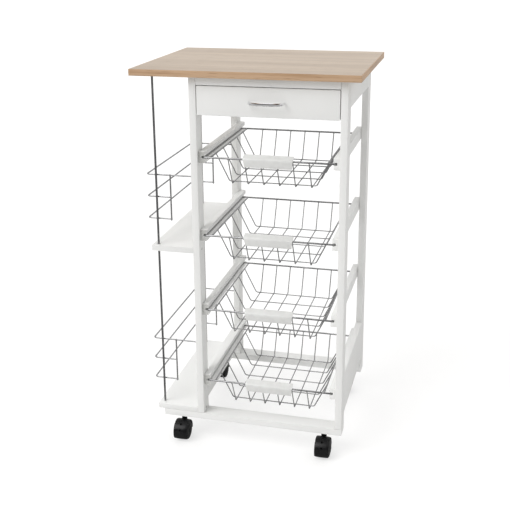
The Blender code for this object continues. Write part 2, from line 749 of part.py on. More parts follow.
def castor_hood():
    """Return a castor's hood with its web, hub, collar and stem, from its axle."""
    fender = arc(FENDER_INNER + FENDER_WALL, -12, 214, 22)
    fender += arc(FENDER_INNER, 214, -12, 22)
    web = arc(FENDER_INNER + FENDER_WALL / 2, -8, 210, 22) + [(0.0, 0.0)]
    half_web = WEB_THICKNESS / 2
    collar_top = CASTOR_HEIGHT - JOINT_GAP - WHEEL_RADIUS
    collar = cylinder(COLLAR_RADIUS, 0.0, collar_top)
    stem = cylinder(STEM_RADIUS, collar_top / 2, collar_top + JOINT_GAP + STEM_LENGTH)
    boss = half_web + WHEEL_SIDE_CLEARANCE / 2
    hub = [(-boss, 0.0), (-boss, HUB_RADIUS), (boss, HUB_RADIUS), (boss, 0.0)]
    solids = [
        extrude_outline(fender, "X", -FENDER_HALF, FENDER_HALF),
        extrude_outline(web, "X", -half_web, half_web),
        lathe(hub, 16),
    ]
    hood = combine(solids)
    for post in (collar, stem):
        moved(post, (0.0, CASTOR_TRAIL, 0.0))
    neck = combine([collar, stem])
    tip = FENDER_INNER + FENDER_WALL / 2
    clearance = [
        (0.8 * half_web, 0.0),
        (0.8 * half_web, tip),
        (2 * FENDER_HALF, tip),
        (2 * FENDER_HALF, 0.0),
    ]
    cuts = [lathe([(side * along, radius) for along, radius in clearance], 44) for side in (-1, 1)]
    neck = combine([from_mesh(neck), *cuts], "DIFFERENCE")
    hood = combine([from_mesh(hood), from_mesh(neck)])
    bore_radius = AXLE_RADIUS + AXLE_CLEARANCE
    bore_half = 2 * WEB_THICKNESS
    bore = [(-bore_half, 0.0), (-bore_half, bore_radius), (bore_half, bore_radius), (bore_half, 0.0)]
    return combine([from_mesh(hood), lathe(bore, 16)], "DIFFERENCE")


def castor_wheel(sign):
    """Return one wheel, its hidden bore towards the hood's web."""
    bore = AXLE_RADIUS + AXLE_CLEARANCE
    bore_end = WHEEL_INNER + 0.8 * WHEEL_WIDTH
    outer = WHEEL_INNER + WHEEL_WIDTH
    edge = 0.0014
    profile = [
        (bore_end, 0.0),
        (bore_end, bore),
        (WHEEL_INNER, bore),
        (WHEEL_INNER, WHEEL_RADIUS - edge),
        (WHEEL_INNER + edge, WHEEL_RADIUS),
        (outer - edge, WHEEL_RADIUS),
        (outer, WHEEL_RADIUS - edge),
        (outer + 0.6 * WHEEL_CROWN, 0.6 * WHEEL_RADIUS),
        (outer + WHEEL_CROWN, 0.0),
    ]
    return lathe([(sign * along, radius) for along, radius in profile], 28)


def add_castors():
    hood = castor_hood()
    half = 0.8 * WHEEL_WIDTH - AXLE_CLEARANCE + WHEEL_INNER
    for name, spot in castor_places().items():
        swivel = pivot(f"castor_{name}_swivel", (*spot, CASTOR_HEIGHT))
        axle_place = (0.0, -CASTOR_TRAIL, WHEEL_RADIUS - CASTOR_HEIGHT)
        place_mesh(hood.copy(), f"castor_{name}_hood", black_plastic, axle_place, swivel, True)
        pin = lathe([(-half, 0.0), (-half, AXLE_RADIUS), (half, AXLE_RADIUS), (half, 0.0)], 16)
        finish(pin, f"castor_{name}_axle", chrome, axle_place, swivel, True)
        for side, sign in (("left", -1), ("right", 1)):
            spin = pivot(f"castor_{name}_spin_{side}", axle_place, swivel)
            wheel = castor_wheel(sign)
            finish(wheel, f"castor_{name}_wheel_{side}", black_plastic, parent=spin, smooth=True)


def main():
    clear_scene()
    add_tabletop()
    add_posts()
    add_base_boards()
    add_side_boards()
    add_cross_rails()
    add_runners()
    add_shelves()
    add_rods()
    add_guard_rail("guard_rail_upper", MIDDLE_SHELF_TOP)
    add_guard_rail("guard_rail_lower", BOTTOM_SHELF_TOP)
    add_drawer_guides()
    add_drawer()
    add_baskets()
    add_castors()


main()
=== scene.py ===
"""Finished looks of a rolling utility cart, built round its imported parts.

The cart is a white painted frame on four twin-wheel castors. Four wire baskets
and a small drawer slide out between its posts, and two open shelves with wire
guard rails stand on its left. Lengths are metres and the front faces -Y.
"""

from __future__ import annotations

import logging
import math
from collections.abc import Callable, Iterator, Sequence
from contextlib import contextmanager
from dataclasses import dataclass, field
from enum import Enum

import bmesh
import bpy
from mathutils import Matrix, Vector

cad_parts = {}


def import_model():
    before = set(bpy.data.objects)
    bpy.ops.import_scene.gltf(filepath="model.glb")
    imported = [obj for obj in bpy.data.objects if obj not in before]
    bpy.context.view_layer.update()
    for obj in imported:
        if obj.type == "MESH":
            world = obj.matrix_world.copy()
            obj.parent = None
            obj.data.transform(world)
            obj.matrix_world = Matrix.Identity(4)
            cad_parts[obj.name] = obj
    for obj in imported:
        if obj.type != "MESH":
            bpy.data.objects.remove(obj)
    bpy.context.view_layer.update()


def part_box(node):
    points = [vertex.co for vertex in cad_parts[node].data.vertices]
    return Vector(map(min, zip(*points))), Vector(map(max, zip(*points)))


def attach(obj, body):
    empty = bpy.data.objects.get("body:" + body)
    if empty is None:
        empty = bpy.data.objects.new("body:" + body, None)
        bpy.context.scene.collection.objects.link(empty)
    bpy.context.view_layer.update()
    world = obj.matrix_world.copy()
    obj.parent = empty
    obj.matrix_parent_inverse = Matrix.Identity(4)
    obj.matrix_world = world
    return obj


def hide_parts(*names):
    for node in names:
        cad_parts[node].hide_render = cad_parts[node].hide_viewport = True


LOG = logging.getLogger("utility_cart")
Colour = tuple[float, float, float]
Profile = tuple[tuple[float, float], ...]

OVERRUN = 0.01  # how far a cutter runs past what it cuts
MERGE = 1e-6  # points nearer than this are one point
NOISE_RANGE = (0.3, 0.7)  # where most of a noise's values lie
MIX_FIRST, MIX_SECOND, MIX_RESULT = 6, 7, 2  # a colour mix's sockets


class Axis(Enum):
    """A world axis that a round piece runs along."""

    X = (1.0, 0.0, 0.0)
    Y = (0.0, 1.0, 0.0)
    Z = (0.0, 0.0, 1.0)

    @property
    def vector(self) -> Vector:
        """The axis as a unit vector."""
        return Vector(self.value)


class Pick(Enum):
    """The kind of mesh element that is picked in edit mode."""

    CORNERS = ("VERT", "verts")
    EDGES = ("EDGE", "edges")
    FACES = ("FACE", "faces")


# ---------------------------------------------------------------- hand tools


def put_down() -> None:
    """Leave edit mode and deselect everything."""
    if bpy.context.object is not None and bpy.context.object.mode != "OBJECT":
        bpy.ops.object.mode_set(mode="OBJECT")
    bpy.ops.object.select_all(action="DESELECT")


def take(*pieces: bpy.types.Object) -> None:
    """Select these pieces only, the first one active.

    Args:
        pieces: The objects to pick up.
    """
    put_down()
    for piece in pieces:
        piece.select_set(True)
    bpy.context.view_layer.objects.active = pieces[0]


def settle(piece: bpy.types.Object) -> bpy.types.Object:
    """Write an object's place, turn and scale into its mesh.

    Args:
        piece: The object to settle.

    Returns:
        The same object, now at the origin.
    """
    take(piece)
    bpy.ops.object.transform_apply(location=True, rotation=True, scale=True)
    return piece


@contextmanager
def editing(piece: bpy.types.Object, kind: Pick = Pick.FACES) -> Iterator[bmesh.types.BMesh]:
    """Open a piece in edit mode with nothing selected.

    Args:
        piece: The object to edit.
        kind: The element kind to select.

    Yields:
        The edit mesh, for picking by place.
    """
    take(piece)
    bpy.ops.object.mode_set(mode="EDIT")
    bpy.ops.mesh.select_mode(type=kind.value[0])
    bpy.ops.mesh.select_all(action="DESELECT")
    yield bmesh.from_edit_mesh(piece.data)
    bpy.ops.object.mode_set(mode="OBJECT")


def pick(shape: bmesh.types.BMesh, kind: Pick, wanted: Callable[..., bool]) -> None:
    """Select the mesh elements that pass a test and no others.

    Args:
        shape: The edit mesh.
        kind: The element kind that is tested.
        wanted: Says whether an element is selected.
    """
    bpy.ops.mesh.select_all(action="DESELECT")
    for element in getattr(shape, kind.value[1]):
        if wanted(element):
            element.select_set(True)


def face_out() -> None:
    """Turn all the faces of the mesh that is being edited outwards."""
    bpy.ops.mesh.select_all(action="SELECT")
    bpy.ops.mesh.normals_make_consistent(inside=False)


def modify(piece: bpy.types.Object, kind: str, **settings: object) -> bpy.types.Object:
    """Add a modifier, set it and apply it.

    Args:
        piece: The object to change.
        kind: The modifier's type.
        settings: Its values by name.

    Returns:
        The same object.
    """
    take(piece)
    bpy.ops.object.modifier_add(type=kind)
    added = piece.modifiers[-1]
    for name, value in settings.items():
        setattr(added, name, value)
    bpy.ops.object.modifier_apply(modifier=added.name)
    return piece


def ease(piece: bpy.types.Object, width: float, segments: int = 3, angle: float = 30.0) -> None:
    """Round a piece's sharp edges and shade it smooth.

    Args:
        piece: The object to round.
        width: The rounding's width.
        segments: How many steps each rounding has.
        angle: The least angle, in degrees, of an edge that is rounded.
    """
    modify(
        piece,
        "BEVEL",
        width=width,
        segments=segments,
        limit_method="ANGLE",
        angle_limit=math.radians(angle),
        use_clamp_overlap=True,
    )
    shade(piece)


def shade(piece: bpy.types.Object, angle: float = 40.0) -> None:
    """Shade a piece smooth except across sharp edges."""
    take(piece)
    bpy.ops.object.shade_smooth_by_angle(angle=math.radians(angle))


def block(name: str, low: Sequence[float], high: Sequence[float]) -> bpy.types.Object:
    """Add a cube stretched between two corners.

    Args:
        name: The object's name.
        low: The lowest corner.
        high: The highest corner.

    Returns:
        The new object.
    """
    put_down()
    low, high = Vector(low), Vector(high)
    bpy.ops.mesh.primitive_cube_add(size=1.0, location=(low + high) / 2)
    piece = bpy.context.object
    piece.name = name
    piece.scale = high - low
    return settle(piece)


def rod(
    name: str,
    centre: Sequence[float],
    radius: float,
    length: float,
    axis: Axis = Axis.Z,
    sides: int = 32,
) -> bpy.types.Object:
    """Add a round bar about its middle.

    Args:
        name: The object's name.
        centre: The middle of the bar.
        radius: Its radius.
        length: Its whole length.
        axis: The axis it runs along.
        sides: How many faces go round it.

    Returns:
        The new object.
    """
    put_down()
    bpy.ops.mesh.primitive_cylinder_add(
        vertices=sides, radius=radius, depth=length, location=centre
    )
    piece = bpy.context.object
    piece.name = name
    piece.rotation_euler = axis.vector.to_track_quat("Z", "Y").to_euler()
    return settle(piece)


def cut(piece: bpy.types.Object, *cutters: bpy.types.Object) -> bpy.types.Object:
    """Cut other solids out of a piece and throw them away.

    Args:
        piece: The object that is cut.
        cutters: The solids to take out of it.

    Returns:
        The cut piece.
    """
    for cutter in cutters:
        modify(piece, "BOOLEAN", operation="DIFFERENCE", solver="EXACT", object=cutter)
        bpy.data.objects.remove(cutter, do_unlink=True)
    return piece


def weld(piece: bpy.types.Object, *others: bpy.types.Object) -> bpy.types.Object:
    """Unite solids into one.

    Args:
        piece: The solid that grows.
        others: The solids that it takes in.

    Returns:
        The united piece.
    """
    for other in others:
        modify(piece, "BOOLEAN", operation="UNION", solver="EXACT", object=other)
        bpy.data.objects.remove(other, do_unlink=True)
    return piece


def gather(name: str, pieces: Sequence[bpy.types.Object]) -> bpy.types.Object:
    """Join several objects into one.

    Args:
        name: The joined object's name.
        pieces: The objects to join.

    Returns:
        The joined object.
    """
    take(*pieces)
    bpy.ops.object.join()
    joined = bpy.context.object
    joined.name = name
    joined.data.name = name
    return joined


def another(piece: bpy.types.Object, name: str, move: Sequence[float]) -> bpy.types.Object:
    """Copy a piece, mesh and all, to another place.

    Args:
        piece: The object to copy.
        name: The copy's name.
        move: How far the copy stands from the first.

    Returns:
        The copy.
    """
    take(piece)
    bpy.ops.object.duplicate(linked=False)
    twin = bpy.context.object
    twin.name = name
    twin.data.name = name
    twin.location = move
    return settle(twin)


def drawn(name: str, points: Sequence[Sequence[float]], closed: bool) -> bpy.types.Object:
    """Draw a line corner by corner, by extruding its first point.

    Args:
        name: The object's name.
        points: The line's corners.
        closed: Whether it comes back to its start and is filled.

    Returns:
        The new object.
    """
    put_down()
    corners = [Vector(point) for point in points]
    bpy.ops.mesh.primitive_plane_add(size=0.001, location=corners[0])
    piece = settle(bpy.context.object)
    piece.name = name
    with editing(piece, Pick.CORNERS):
        bpy.ops.mesh.select_all(action="SELECT")
        bpy.ops.mesh.merge(type="CENTER")
        for start, end in zip(corners, corners[1:]):
            bpy.ops.mesh.extrude_region_move(TRANSFORM_OT_translate={"value": end - start})
        if closed:
            bpy.ops.mesh.select_all(action="SELECT")
            bpy.ops.mesh.edge_face_add()
    return piece


def turned(
    name: str,
    profile: Sequence[tuple[float, float]],
    centre: Sequence[float] = (0.0, 0.0, 0.0),
    axis: Axis = Axis.X,
    sides: int = 48,
) -> bpy.types.Object:
    """Turn a profile right round an axis, as on a lathe.

    Args:
        name: The object's name.
        profile: Corners as (along the axis, radius), ending on the axis or closing on itself.
        centre: Where the profile's zero lies.
        axis: The axis it turns about.
        sides: How many faces go round it.

    Returns:
        The turned solid.
    """
    out = Vector((0.0, 0.0, 1.0)) if axis is not Axis.Z else Vector((1.0, 0.0, 0.0))
    middle = Vector(centre)
    points = [middle + axis.vector * along + out * radius for along, radius in profile]
    piece = drawn(name, points, closed=False)
    with editing(piece, Pick.CORNERS):
        bpy.ops.mesh.select_all(action="SELECT")
        bpy.ops.mesh.spin(steps=sides, angle=2 * math.pi, center=middle, axis=axis.vector)
        bpy.ops.mesh.select_all(action="SELECT")
        bpy.ops.mesh.remove_doubles(threshold=MERGE)
        bpy.ops.mesh.normals_make_consistent(inside=False)
    shade(piece)
    return piece


def extruded(
    name: str, outline: Sequence[Sequence[float]], travel: Sequence[float]
) -> bpy.types.Object:
    """Draw an outline, fill it and extrude it.

    Args:
        name: The object's name.
        outline: The outline's corners.
        travel: How far it is extruded.

    Returns:
        The new solid.
    """
    piece = drawn(name, outline, closed=True)
    with editing(piece, Pick.FACES):
        bpy.ops.mesh.select_all(action="SELECT")
        bpy.ops.mesh.extrude_region_move(TRANSFORM_OT_translate={"value": travel})
        face_out()
    return piece


def bent(
    points: Sequence[Sequence[float]], radius: float, steps: int = 6, closed: bool = False
) -> list[Vector]:
    """Round the inner corners of a path.

    Args:
        points: The path's corners.
        radius: The bend's radius.
        steps: How many stretches each bend has.
        closed: Whether the path comes back to its start.

    Returns:
        The points of the rounded path.
    """
    path = [Vector(point) for point in points]
    rounded: list[Vector] = []
    for index, corner in enumerate(path):
        if not closed and index in (0, len(path) - 1):
            rounded.append(corner)
            continue
        back = (path[index - 1] - corner).normalized()
        ahead = (path[(index + 1) % len(path)] - corner).normalized()
        half = back.angle(ahead) / 2
        centre = corner + (back + ahead).normalized() * (radius / math.sin(half))
        first = (corner + back * (radius / math.tan(half)) - centre).normalized()
        last = (corner + ahead * (radius / math.tan(half)) - centre).normalized()
        for step in range(steps + 1):
            rounded.append(centre + first.slerp(last, step / steps) * radius)
    return rounded


def wire(
    name: str,
    path: Sequence[Vector],
    radius: float,
    closed: bool = False,
    swell: Sequence[float] = (),
) -> bpy.types.Object:
    """Bend a round wire along a path and make it a mesh.

    Args:
        name: The object's name.
        path: The points of the wire's middle line.
        radius: The wire's radius.
        closed: Whether the wire is a loop.
        swell: A share of the radius at each point, if it isn't the same all along.

    Returns:
        The wire as a mesh.
    """
    put_down()
    bpy.ops.curve.primitive_bezier_curve_add()
    piece = bpy.context.object
    piece.name = name
    line = piece.data
    line.splines.clear()
    spline = line.splines.new("POLY")
    spline.points.add(len(path) - 1)
    for index, point in enumerate(path):
        spline.points[index].co = (*point, 1.0)
        spline.points[index].radius = swell[index] if swell else 1.0
    spline.use_cyclic_u = closed
    line.dimensions = "3D"
    line.bevel_depth = radius
    line.bevel_resolution = 2
    line.use_fill_caps = True
    take(piece)
    bpy.ops.object.convert(target="MESH")
    piece = settle(bpy.context.object)
    shade(piece, 50.0)
    return piece


def fit(
    piece: bpy.types.Object, coat: bpy.types.Material, body: str, slot: str, *nodes: str
) -> None:
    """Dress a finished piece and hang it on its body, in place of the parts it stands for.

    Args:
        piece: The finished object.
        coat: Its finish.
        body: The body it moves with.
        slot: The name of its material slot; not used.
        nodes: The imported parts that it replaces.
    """
    dress(piece, coat)
    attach(piece, body)
    if nodes:
        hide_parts(*nodes)
    LOG.info("%s rides on %s", piece.name, body)


def dress(piece: bpy.types.Object, finish: bpy.types.Material) -> None:
    """Give a piece one finish all over."""
    piece.data.materials.clear()
    piece.data.materials.append(finish)


def paint_shade_on_ends(piece: bpy.types.Object, finish: bpy.types.Material) -> None:
    """Give a bar's two sawn ends, across Y, a second finish that paints shade on them.

    Args:
        piece: The bar, which already has its first finish.
        finish: The greyer finish of its ends, which is painted shade.
    """
    piece.data.materials.append(finish)
    with editing(piece) as shape:
        pick(shape, Pick.FACES, lambda face: abs(face.normal.y) > 0.95)
        piece.active_material_index = 1
        bpy.ops.object.material_slot_assign()


# ------------------------------------------------------------------ finishes


class Recipe:
    """A finish as it is mixed: a material, its nodes and its shader."""

    def __init__(self, name: str) -> None:
        """Start an empty finish.

        Args:
            name: The material's name.
        """
        self.material = bpy.data.materials.new(name)
        self.material.use_nodes = True
        self.tree = self.material.node_tree
        self.shader = self.tree.nodes["Principled BSDF"]
        self.place = self.tree.nodes.new("ShaderNodeTexCoord").outputs["Object"]

    def set(self, **values: float | Colour) -> None:
        """Set the shader's own values.

        Args:
            values: Values by socket name, with _ for a space.
        """
        for name, value in values.items():
            socket = self.shader.inputs[name.replace("_", " ")]
            socket.default_value = (*value, 1.0) if isinstance(value, tuple) else value

    def noise(
        self,
        scale: float,
        stretch: Colour = (1.0, 1.0, 1.0),
        detail: float = 3.0,
        distortion: float = 0.0,
    ) -> bpy.types.NodeSocket:
        """Add a noise that follows the piece.

        Args:
            scale: The noise's scale, per metre.
            stretch: How far it is scaled along each axis.
            detail: How many finer layers it has.
            distortion: How far it swirls.

        Returns:
            The noise's value.
        """
        mapping = self.tree.nodes.new("ShaderNodeMapping")
        mapping.inputs["Scale"].default_value = stretch
        texture = self.tree.nodes.new("ShaderNodeTexNoise")
        texture.inputs["Scale"].default_value = scale
        texture.inputs["Detail"].default_value = detail
        texture.inputs["Distortion"].default_value = distortion
        self.tree.links.new(self.place, mapping.inputs["Vector"])
        self.tree.links.new(mapping.outputs["Vector"], texture.inputs["Vector"])
        return texture.outputs["Fac"]

    def ramp(
        self, value: bpy.types.NodeSocket, stops: Sequence[tuple[float, Colour]]
    ) -> bpy.types.NodeSocket:
        """Turn a value into a colour.

        Args:
            value: The value to read.
            stops: Colours by place from 0 to 1.

        Returns:
            The colour.
        """
        ramp = self.tree.nodes.new("ShaderNodeValToRGB")
        elements = ramp.color_ramp.elements
        while len(elements) < len(stops):
            elements.new(0.5)
        for element, (spot, colour) in zip(elements, stops):
            element.position = spot
            element.color = (*colour, 1.0)
        self.tree.links.new(value, ramp.inputs["Fac"])
        return ramp.outputs["Color"]

    def blend(
        self,
        share: bpy.types.NodeSocket | float,
        first: bpy.types.NodeSocket,
        second: bpy.types.NodeSocket,
        way: str = "MIX",
    ) -> bpy.types.NodeSocket:
        """Blend two colours.

        Args:
            share: How much of the second colour shows.
            first: The colour below.
            second: The colour above.
            way: The blend mode.

        Returns:
            The blended colour.
        """
        mix = self.tree.nodes.new("ShaderNodeMix")
        mix.data_type = "RGBA"
        mix.blend_type = way
        if isinstance(share, float):
            mix.inputs["Factor"].default_value = share
        else:
            self.tree.links.new(share, mix.inputs["Factor"])
        self.tree.links.new(first, mix.inputs[MIX_FIRST])
        self.tree.links.new(second, mix.inputs[MIX_SECOND])
        return mix.outputs[MIX_RESULT]

    def spread(
        self, value: bpy.types.NodeSocket, low: float, high: float
    ) -> bpy.types.NodeSocket:
        """Map a value that runs about its middle onto a range.

        Args:
            value: The value to read.
            low: The result where it is low.
            high: The result where it is high.

        Returns:
            The mapped value.
        """
        scaled = self.tree.nodes.new("ShaderNodeMapRange")
        for name, limit in zip(("From Min", "From Max"), NOISE_RANGE):
            scaled.inputs[name].default_value = limit
        scaled.inputs["To Min"].default_value = low
        scaled.inputs["To Max"].default_value = high
        self.tree.links.new(value, scaled.inputs["Value"])
        return scaled.outputs["Result"]

    def paint_with(self, colour: bpy.types.NodeSocket) -> None:
        """Use a colour as the base colour."""
        self.tree.links.new(colour, self.shader.inputs["Base Color"])

    def vary_roughness(self, value: bpy.types.NodeSocket, low: float, high: float) -> None:
        """Let the roughness run between two values."""
        self.tree.links.new(self.spread(value, low, high), self.shader.inputs["Roughness"])

    def emboss(self, height: bpy.types.NodeSocket, depth: float, strength: float) -> None:
        """Raise the surface by a height.

        Args:
            height: The height to read.
            depth: How far it stands out, in metres.
            strength: How much of it shows.
        """
        bump = self.tree.nodes.new("ShaderNodeBump")
        bump.inputs["Strength"].default_value = strength
        bump.inputs["Distance"].default_value = depth
        self.tree.links.new(height, bump.inputs["Height"])
        self.tree.links.new(bump.outputs["Normal"], self.shader.inputs["Normal"])


@dataclass(frozen=True)
class Coat:
    """A finish with soft clouds of colour, a wandering gloss and a fine relief.

    Each of the three layers of noise is a scale, per metre, and a detail.
    """

    name: str
    light: Colour
    dark: Colour
    roughness: tuple[float, float]
    relief_depth: float = 0.00003
    relief_strength: float = 0.15
    stops: tuple[float, float] = (0.35, 0.65)
    clouds: tuple[float, float] = (45.0, 3.0)
    gloss_drift: tuple[float, float] = (400.0, 3.0)
    relief: tuple[float, float] = (1500.0, 1.0)

    def values(self) -> dict[str, float]:
        """The shader's own values, by socket name."""
        return {}

    def mix(self) -> bpy.types.Material:
        """Mix the finish.

        Returns:
            Its material.
        """
        recipe = Recipe(self.name)
        recipe.set(**self.values())
        clouds, drift, relief = (
            recipe.noise(scale, detail=detail)
            for scale, detail in (self.clouds, self.gloss_drift, self.relief)
        )
        recipe.paint_with(recipe.ramp(clouds, tuple(zip(self.stops, (self.dark, self.light)))))
        recipe.vary_roughness(drift, *self.roughness)
        recipe.emboss(relief, self.relief_depth, self.relief_strength)
        return recipe.material


@dataclass(frozen=True)
class WhitePaint(Coat):
    """Satin white paint on smooth board, with a faint roller texture."""

    name: str = "satin_white_paint"
    light: Colour = (0.83, 0.83, 0.815)
    dark: Colour = (0.80, 0.80, 0.785)
    roughness: tuple[float, float] = (0.36, 0.5)
    relief_depth: float = 0.00005
    stops: tuple[float, float] = (0.3, 0.7)
    clouds: tuple[float, float] = (7.0, 2.0)
    gloss_drift: tuple[float, float] = (60.0, 4.0)
    relief: tuple[float, float] = (900.0, 2.0)

    def values(self) -> dict[str, float]:
        """The shader's own values, by socket name."""
        return {"IOR": 1.48}


@dataclass(frozen=True)
class OakLaminate:
    """Printed oak grain under a satin wear layer."""

    name: str
    grain: Axis
    # These defaults are the top's colours: its oak grain, made greyer than the edge bands' to
    # paint in the pale sheen of its satin surface.
    light: Colour = (0.555, 0.452, 0.348)
    middle: Colour = (0.492, 0.388, 0.293)
    dark: Colour = (0.385, 0.296, 0.212)
    pore: Colour = (0.45, 0.36, 0.28)
    figure_share: float = 0.55
    pore_share: float = 0.5
    roughness: tuple[float, float] = (0.3, 0.42)

    def along(self, stretch: float) -> Colour:
        """Return a stretch that draws a noise out along the grain."""
        return (stretch, 1.0, 1.0) if self.grain is Axis.X else (1.0, stretch, 1.0)

    def mix(self) -> bpy.types.Material:
        """Mix the laminate.

        Returns:
            Its material.
        """
        recipe = Recipe(self.name)
        recipe.set(IOR=1.5)
        figure = recipe.noise(16.0, self.along(0.09), detail=3.0, distortion=0.7)
        stops = ((0.3, self.dark), (0.48, self.middle), (0.68, self.light))
        broad = recipe.ramp(figure, stops)
        fine = recipe.noise(150.0, self.along(0.035), detail=4.0)
        streaks = recipe.ramp(fine, ((0.38, self.dark), (0.56, self.light)))
        colour = recipe.blend(self.figure_share, streaks, broad)
        ticks = recipe.noise(620.0, self.along(0.045), detail=1.0)
        lines = recipe.ramp(ticks, ((0.30, self.pore), (0.40, (1.0, 1.0, 1.0))))
        recipe.paint_with(recipe.blend(self.pore_share, colour, lines, "MULTIPLY"))
        recipe.vary_roughness(fine, *self.roughness)
        recipe.emboss(ticks, 0.00008, 0.25)
        return recipe.material


@dataclass(frozen=True)
class Plating(Coat):
    """Bright plating over steel, darkened a little by its drawing marks."""

    roughness: tuple[float, float] = (0.16, 0.3)
    relief_depth: float = 0.00002

    def values(self) -> dict[str, float]:
        """The shader's own values, by socket name."""
        return {"Metallic": 1.0}


@dataclass(frozen=True)
class Moulding(Coat):
    """Moulded plastic with a fine eroded grain."""

    relief_strength: float = 0.3
    clouds: tuple[float, float] = (90.0, 2.0)
    gloss_drift: tuple[float, float] = (250.0, 3.0)
    relief: tuple[float, float] = (2200.0, 1.0)
    gloss: float = 0.5

    def values(self) -> dict[str, float]:
        """The shader's own values, by socket name."""
        return {"IOR": 1.5, "Specular_IOR_Level": self.gloss}


class Finishes:
    """Every finish of the cart, mixed once."""

    def __init__(self) -> None:
        """Mix them all."""
        self.paint = WhitePaint().mix()
        # A greyer white for the left runners' ends: painted shade, as if cast by the left posts.
        ends = {"light": (0.58, 0.58, 0.56), "dark": (0.48, 0.48, 0.46)}
        self.shaded_ends = WhitePaint(name="painted_shade_on_runner_ends", **ends).mix()
        self.top = OakLaminate("oak_laminate", Axis.X).mix()
        band: dict[str, Colour] = {
            "light": (0.68, 0.475, 0.31),
            "middle": (0.555, 0.365, 0.22),
            "dark": (0.39, 0.235, 0.13),
        }
        self.long_band = OakLaminate("oak_edge_band_long", Axis.X, **band).mix()
        self.short_band = OakLaminate("oak_edge_band_short", Axis.Y, **band).mix()
        wires = ((0.38, 0.38, 0.385), (0.27, 0.27, 0.275))
        self.wire = Plating("plated_wire", *wires).mix()
        rods = ((0.24, 0.24, 0.245), (0.16, 0.16, 0.165))
        self.rod = Plating("plated_rod", *rods, (0.2, 0.36)).mix()
        chrome = ((0.84, 0.84, 0.85), (0.77, 0.77, 0.78))
        self.chrome = Plating("bright_chrome", *chrome, (0.05, 0.12)).mix()
        steel = ((0.42, 0.42, 0.42), (0.32, 0.32, 0.32))
        self.steel = Plating("zinc_steel", *steel, (0.3, 0.45)).mix()
        white = ((0.75, 0.75, 0.735), (0.71, 0.71, 0.695))
        self.grip = Moulding("white_grip_plastic", *white, (0.32, 0.42)).mix()
        black = ((0.009, 0.009, 0.0095), (0.006, 0.006, 0.0065))
        self.hood = Moulding("black_hood_plastic", *black, (0.26, 0.36), gloss=0.22).mix()
        tread = ((0.013, 0.013, 0.0135), (0.009, 0.009, 0.0095))
        coarse = (0.42, 0.54), 0.00006
        self.tread = Moulding("black_tread_plastic", *tread, *coarse, gloss=0.22).mix()


# -------------------------------------------------------------- the worktop


@dataclass
class Worktop:
    """The laminated top: a board with a band glued on each edge."""

    finishes: Finishes
    band: float = 0.0008
    board_rounding: float = 0.0002
    band_rounding: float = 0.00035

    def build(self) -> None:
        """Make the board and its four bands."""
        low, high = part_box("tabletop")
        inset = Vector((self.band, self.band, 0.0))
        near, far = low + inset, high - inset
        core = block("worktop_board", near, far)
        ease(core, self.board_rounding, 1)
        fit(core, self.finishes.top, "cart", "worktop", "tabletop")
        long, short = self.finishes.long_band, self.finishes.short_band
        for side, start, end, coat in (
            ("front", low, (high.x, near.y, high.z), long),
            ("rear", (low.x, far.y, low.z), high, long),
            ("left", (low.x, near.y, low.z), (near.x, far.y, high.z), short),
            ("right", (far.x, near.y, low.z), (high.x, far.y, high.z), short),
        ):
            strip = block(f"edge_band_{side}", start, end)
            ease(strip, self.band_rounding, 2)
            fit(strip, coat, "cart", "worktop")


# ------------------------------------------------------------ boards, screws


@dataclass
class Screws:
    """Small countersunk screws with a cross slot, gathered as one piece.

    The profile gives heights and shares of the radius.
    """

    finishes: Finishes
    radius: float = 0.0032
    slot_width: float = 0.0009
    slot_depth: float = 0.0009
    slot_share: float = 0.6
    profile: Profile = (
        (-0.0014, 0.0),
        (-0.0014, 0.55),
        (-0.0003, 1.0),
        (0.0, 0.93),
        (0.0002, 0.5),
        (0.00025, 0.0),
    )
    spots: list[tuple[Vector, Vector]] = field(default_factory=list)

    def at(self, spot: Sequence[float], outward: Sequence[float]) -> None:
        """Note a screw's place and the way its head faces."""
        self.spots.append((Vector(spot), Vector(outward)))

    def head(self) -> bpy.types.Object:
        """Turn one head about Z and cut its cross.

        Returns:
            The head, facing up.
        """
        profile = [(height, share * self.radius) for height, share in self.profile]
        head = turned("screw_head", profile, axis=Axis.Z, sides=24)
        reach, half, deep = self.radius * self.slot_share, self.slot_width / 2, self.slot_depth
        across = block("slot", (-reach, -half, -deep), (reach, half, deep))
        along = block("slot", (-half, -reach, -deep * 0.98), (half, reach, deep))
        return cut(head, across, along)

    def build(self, name: str, body: str) -> None:
        """Set a head at each noted place, as one piece.

        Args:
            name: The piece's name.
            body: The body that the screws are in.
        """
        head = self.head()
        heads = []
        for index, (spot, outward) in enumerate(self.spots):
            twin = another(head, f"{name}_{index}", (0.0, 0.0, 0.0))
            twin.rotation_euler = outward.to_track_quat("Z", "Y").to_euler()
            twin.location = spot
            heads.append(settle(twin))
        bpy.data.objects.remove(head, do_unlink=True)
        joined = gather(name, heads)
        shade(joined)
        fit(joined, self.finishes.steel, body, "axle")


